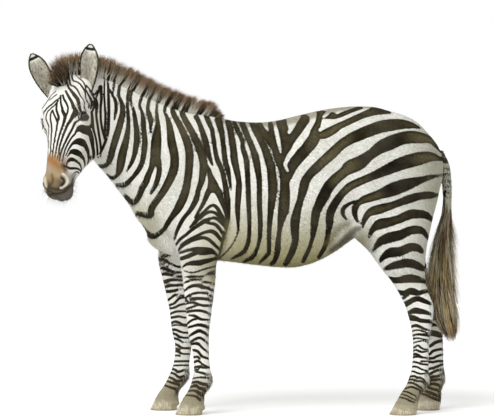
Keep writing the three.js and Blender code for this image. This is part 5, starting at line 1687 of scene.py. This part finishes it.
horn = horn_paint()
for pair in ("fore", "hind"):
    for label, side in (("left", 1), ("right", -1)):
        bpy.ops.object.select_all(action="DESELECT")
        bpy.ops.mesh.primitive_cylinder_add(vertices=48, radius=1, depth=1, end_fill_type="NGON")
        hoof = bpy.context.object
        hoof.name = f"hoof_{pair}_{label}_horn"
        bpy.ops.object.mode_set(mode="EDIT")
        for i in range(1, HOOF_STEPS):
            bpy.ops.mesh.select_all(action="SELECT")
            bpy.ops.mesh.bisect(plane_co=(0, 0, i / HOOF_STEPS - 0.5), plane_no=(0, 0, 1))
        bpy.ops.object.mode_set(mode="OBJECT")
        spots = corners_of(hoof.data)
        level = spots[:, 2] + 0.5
        angle = np.arctan2(spots[:, 1], spots[:, 0])
        radius = np.minimum(np.hypot(spots[:, 0], spots[:, 1]), 1)
        shift = 0 if side > 0 else float(fore_shift(0) if pair == "fore" else hind_shift(0))
        rounded = 0.05 * (1 - np.clip(level / 0.06, 0, 1)) ** 2
        rim = 1 - rounded - 0.06 * np.clip((level - 0.9) / 0.1, 0, 1) ** 2
        half_long = HOOF["ground"][0] + (HOOF["coronet"][0] - HOOF["ground"][0]) * level
        half_wide = HOOF["ground"][1] + (HOOF["coronet"][1] - HOOF["ground"][1]) * level
        front = HOOF["toe"][pair] + shift + HOOF["slope"][pair] * level
        flare = 1 + 0.012 * np.sin(level * 42) + 0.01 * np.sin(level * 17 + 2 * angle)
        cos, sin = np.cos(angle), np.sin(angle)
        reach = rim * flare * radius
        y = front + half_long - half_long * reach * cos
        full = np.sign(sin) * np.abs(sin) ** 0.85
        x = side * HOOF["side"] + half_wide * reach * full * (1 - 0.1 * cos)
        back = (y - front) / (2 * half_long)
        top = HOOF["front"] + (HOOF["heel"] - HOOF["front"]) * np.clip(back, 0, 1)
        cleft = 0.006 * np.exp(-((angle / 0.25) ** 2)) * (cos < 0)
        spots = np.column_stack([x, y - cleft, top * level])
        hoof.data.vertices.foreach_set("co", (spots + PLACE).ravel())
        hoof.data.polygons.foreach_set("use_smooth", [True] * len(hoof.data.polygons))
        hoof.data.update()
        bpy.ops.object.mode_set(mode="EDIT")
        bpy.ops.mesh.select_all(action="SELECT")
        bpy.ops.mesh.normals_make_consistent(inside=False)
        bpy.ops.object.mode_set(mode="OBJECT")
        bpy.ops.object.shade_smooth_by_angle(angle=math.radians(50))
        hoof.data.materials.append(horn)
        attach(hoof, "root")
        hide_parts(f"hoof_{pair}_{label}")

# ---- Eyes ----
# Glossy dark-brown eyeballs in their sockets, each with a pupil that lies lengthwise. The
# gaze attribute holds how far round the ball a place is, along the lids and across them.


def eye_paint():
    material = new_material("eyeball")
    shader, where = shading(material)
    gaze_at = where.node("ShaderNodeAttribute", attribute_name="gaze", out=1)
    a, b = (where.node("ShaderNodeSeparateXYZ", {0: gaze_at}, out=i) for i in (0, 1))
    around = (a * a * 0.8 + b * b).math("SQRT")
    pupil = (a * a * 0.3 + b * b).math("SQRT").step(0.0042, 0.0052)
    fibre = gaze_at.noise(900.0, 3.0)
    iris = fibre.step(0.3, 0.7).mix((0.022, 0.010, 0.004, 1), (0.085, 0.036, 0.014, 1))
    iris = around.step(0.0105, 0.0145).mix(iris, (0.012, 0.008, 0.006, 1))
    colour = pupil.mix((0.004, 0.003, 0.003, 1), iris)
    colour = around.step(0.015, 0.019).mix(colour, (0.018, 0.011, 0.008, 1))
    join(colour, shader, "Base Color")
    shader.inputs["Roughness"].default_value = 0.08
    shader.inputs["Specular IOR Level"].default_value = 0.4
    shader.inputs["Coat Weight"].default_value = 0.2
    shader.inputs["Coat Roughness"].default_value = 0.03
    return material


wet = eye_paint()
for label, side in (("left", 1), ("right", -1)):
    centre = eye_spots[0 if side > 0 else 1]
    bpy.ops.object.select_all(action="DESELECT")
    bpy.ops.mesh.primitive_uv_sphere_add(segments=64, ring_count=48, radius=EYE["radius"],
                                         location=(centre + PLACE).tolist())
    ball = bpy.context.object
    ball.name = f"eyeball_{label}"
    bpy.ops.object.transform_apply(location=True, rotation=True, scale=True)
    bpy.ops.object.shade_smooth()
    _, _, a, b = in_eye(corners_of(ball.data) - PLACE, side)
    layer = ball.data.attributes.new("gaze", "FLOAT_VECTOR", "POINT")
    layer.data.foreach_set("vector", np.column_stack([a, b, 0 * a]).astype(np.float32).ravel())
    ball.data.materials.append(wet)
    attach(ball, "root")
    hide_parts(f"eye_{label}")

# ---- Ear hair, lashes and whiskers ----
# Short coat on the ears with long pale hair in their hollows, lashes along the upper lids,
# and a few stiff whiskers round the lips and chin.


def grown(name, p, normal, way, long, wide, thick, known, uv, bend=(0, 0, 0), steps=2, slot="hair"):
    """Hairs that leave the skin along a way and bend on the way to their tips."""
    shares = np.arange(steps + 1)[:, None] / steps
    start = p - normal * 0.0012
    paths = start[:, None] + long[:, None, None] * (way[:, None] * shares + np.array(bend) * shares**2)
    thing = locks(name, paths, normal, np.full(len(p), wide), np.full(len(p), thick), known,
                  draw.normal(1, 0.1, len(p)), uv, taper=1.2)
    thing.data.materials.append(hair_paint if slot == "hair" else coat_hair)


def all_of(colour, p):
    return np.tile(paint(colour), (len(p), 1))


p, normal, uv, known = scatter(on_ear, 110000)
way = np.empty_like(p)
for side in (1, -1):
    own = in_head(p)[2] * side > 0
    up, facing, across = ear_axes(side)
    leaning = up + facing * 0.25 * (normal[own] @ facing)[:, None]
    way[own] = unit(leaning - normal[own] * (leaning * normal[own]).sum(1, keepdims=True))
way = unit(way + normal * 0.16 + draw.normal(0, 0.12, p.shape))
grown("coat_ears", p, normal, way, draw.uniform(0.005, 0.008, len(p)), 0.0022, 0.0007, known, uv,
      steps=1, slot="coat")

EAR_HAIRS = 420
roots, ways, longs, spread_of, normals = [], [], [], [], []
for side in (1, -1):
    up, facing, across = ear_axes(side)
    u = draw.uniform(-1, 1, EAR_HAIRS)
    share = draw.uniform(0.06, 0.8, EAR_HAIRS)
    u = np.sign(u) * np.abs(u) ** 0.6 * 0.93
    spread_of.append(np.abs(u))
    roots.append(ear_spot(side, share, u, 0 * u))
    way = up * 0.75 + facing * 0.42 - across * u[:, None] * 0.75
    ways.append(unit(way + draw.normal(0, 0.12, (EAR_HAIRS, 3))))
    longs.append(draw.uniform(0.022, 0.042, EAR_HAIRS) * (1.1 - 0.6 * share))
    normals.append(np.tile(facing, (EAR_HAIRS, 1)))
p, way, normal, long = np.vstack(roots), np.vstack(ways), np.vstack(normals), np.concatenate(longs)
cream = all_of("ded8c4", p) * draw.uniform(0.7, 1.05, len(p))[:, None]
sooty = (draw.random(len(p)) < 0.55) & (np.concatenate(spread_of) < 0.3)
grown("ear_hair", p, normal, way, long * np.where(sooty, 0.6, 1), 0.0017, 0.0006,
      [np.where(sooty, -0.01, 0.01), cream, all_of("2a231a", p)], nearest_uv(p), bend=(0, 0, -0.12))

LASHES = 70
roots, ways, normals = [], [], []
for side in (1, -1):
    gaze, long_way, up = look_of(side)
    a = np.linspace(-0.8, 0.75, LASHES) * LID_LONG
    b = LID_HIGH * UPPER * (1.06**1.8 - np.abs(a / LID_LONG) ** 1.7) ** (1 / 1.9)
    a, b = a + draw.normal(0, 0.0006, LASHES), b + draw.normal(0.001, 0.0006, LASHES)
    aslant, raised = np.tan(a / EYE["radius"])[:, None], np.tan(b / EYE["radius"])[:, None]
    out = unit(gaze + aslant * long_way + raised * up)
    roots.append(eye_spots[0 if side > 0 else 1] + out * (EYE["radius"] + 0.003))
    way = out * 0.8 + up * 0.1 + long_way * (a * 18)[:, None]
    ways.append(unit(way + draw.normal(0, 0.12, (LASHES, 3)) - (0, 0, 0.35)))
    normals.append(np.tile(up, (LASHES, 1)))
p, way, normal = np.vstack(roots), np.vstack(ways), np.vstack(normals)
black = all_of("14100c", p)
grown("lashes", p, normal, way, draw.uniform(0.011, 0.018, len(p)), 0.001, 0.0005,
      [np.full(len(p), -0.01), black, black], nearest_uv(p), bend=(0, 0, 0.2), steps=3)

t, n, _ = in_head(middles)
around_lips = on_head & (t > 0.44) & (n < -0.06)
p, normal, uv, _ = scatter(around_lips, 6500)
way = unit(normal + down_face * 0.45 + draw.normal(0, 0.2, p.shape))
brown = all_of("3a322a", p)
grown("whiskers", p, normal, way, draw.uniform(0.012, 0.042, len(p)), 0.0008, 0.0004,
      [np.full(len(p), -0.01), brown, brown], uv, bend=(0, 0, -0.25), steps=3)

# ---- Longer coat ----
# Hair that breaks the outline: under the jaw and throat, along the belly, down the breast
# and the back of the legs, and in the tufts of the fetlocks.
_, y, z = middles.T
_, backward, upward = skin_normals[triangles].mean(1).T
facing_down = upward < -0.25
jaw = on_head & (n < -0.12) & (t > 0.1) & facing_down
throat = on_body & (y < -0.4) & facing_down
belly = on_body & between(y, -0.3, 0.6) & facing_down & (z < 0.86)
breast = on_body & (y < -0.3) & between(z, 0.68, 1.02) & (backward < -0.4)
leg_backs = on_leg & (backward > 0.6) & (z > 0.25)
fetlock = on_leg & (backward > 0.35) & between(z, 0.075, 0.2)
for name, where, density, long, wide in (
    ("fringe_jaw", jaw, 42000, 0.0105, 0.0016), ("fringe_throat", throat, 22000, 0.014, 0.0024),
    ("fringe_belly", belly, 6000, 0.015, 0.0022), ("fringe_breast", breast, 18000, 0.017, 0.0026),
    ("fringe_legs", leg_backs, 36000, 0.016, 0.0019), ("fringe_fetlocks", fetlock, 60000, 0.021, 0.0018),
):
    p, normal, uv, known = scatter(where, density)
    known[0] = marks(p)
    way = unit(lie(p, normal, 0.16) + normal * draw.uniform(0.2, 0.5, len(p))[:, None] - (0, 0, 0.15))
    grown(name, p, normal, way, long * draw.uniform(0.6, 1.2, len(p)), wide, wide * 0.4, known, uv,
          bend=(0, 0, -0.15), slot="coat")
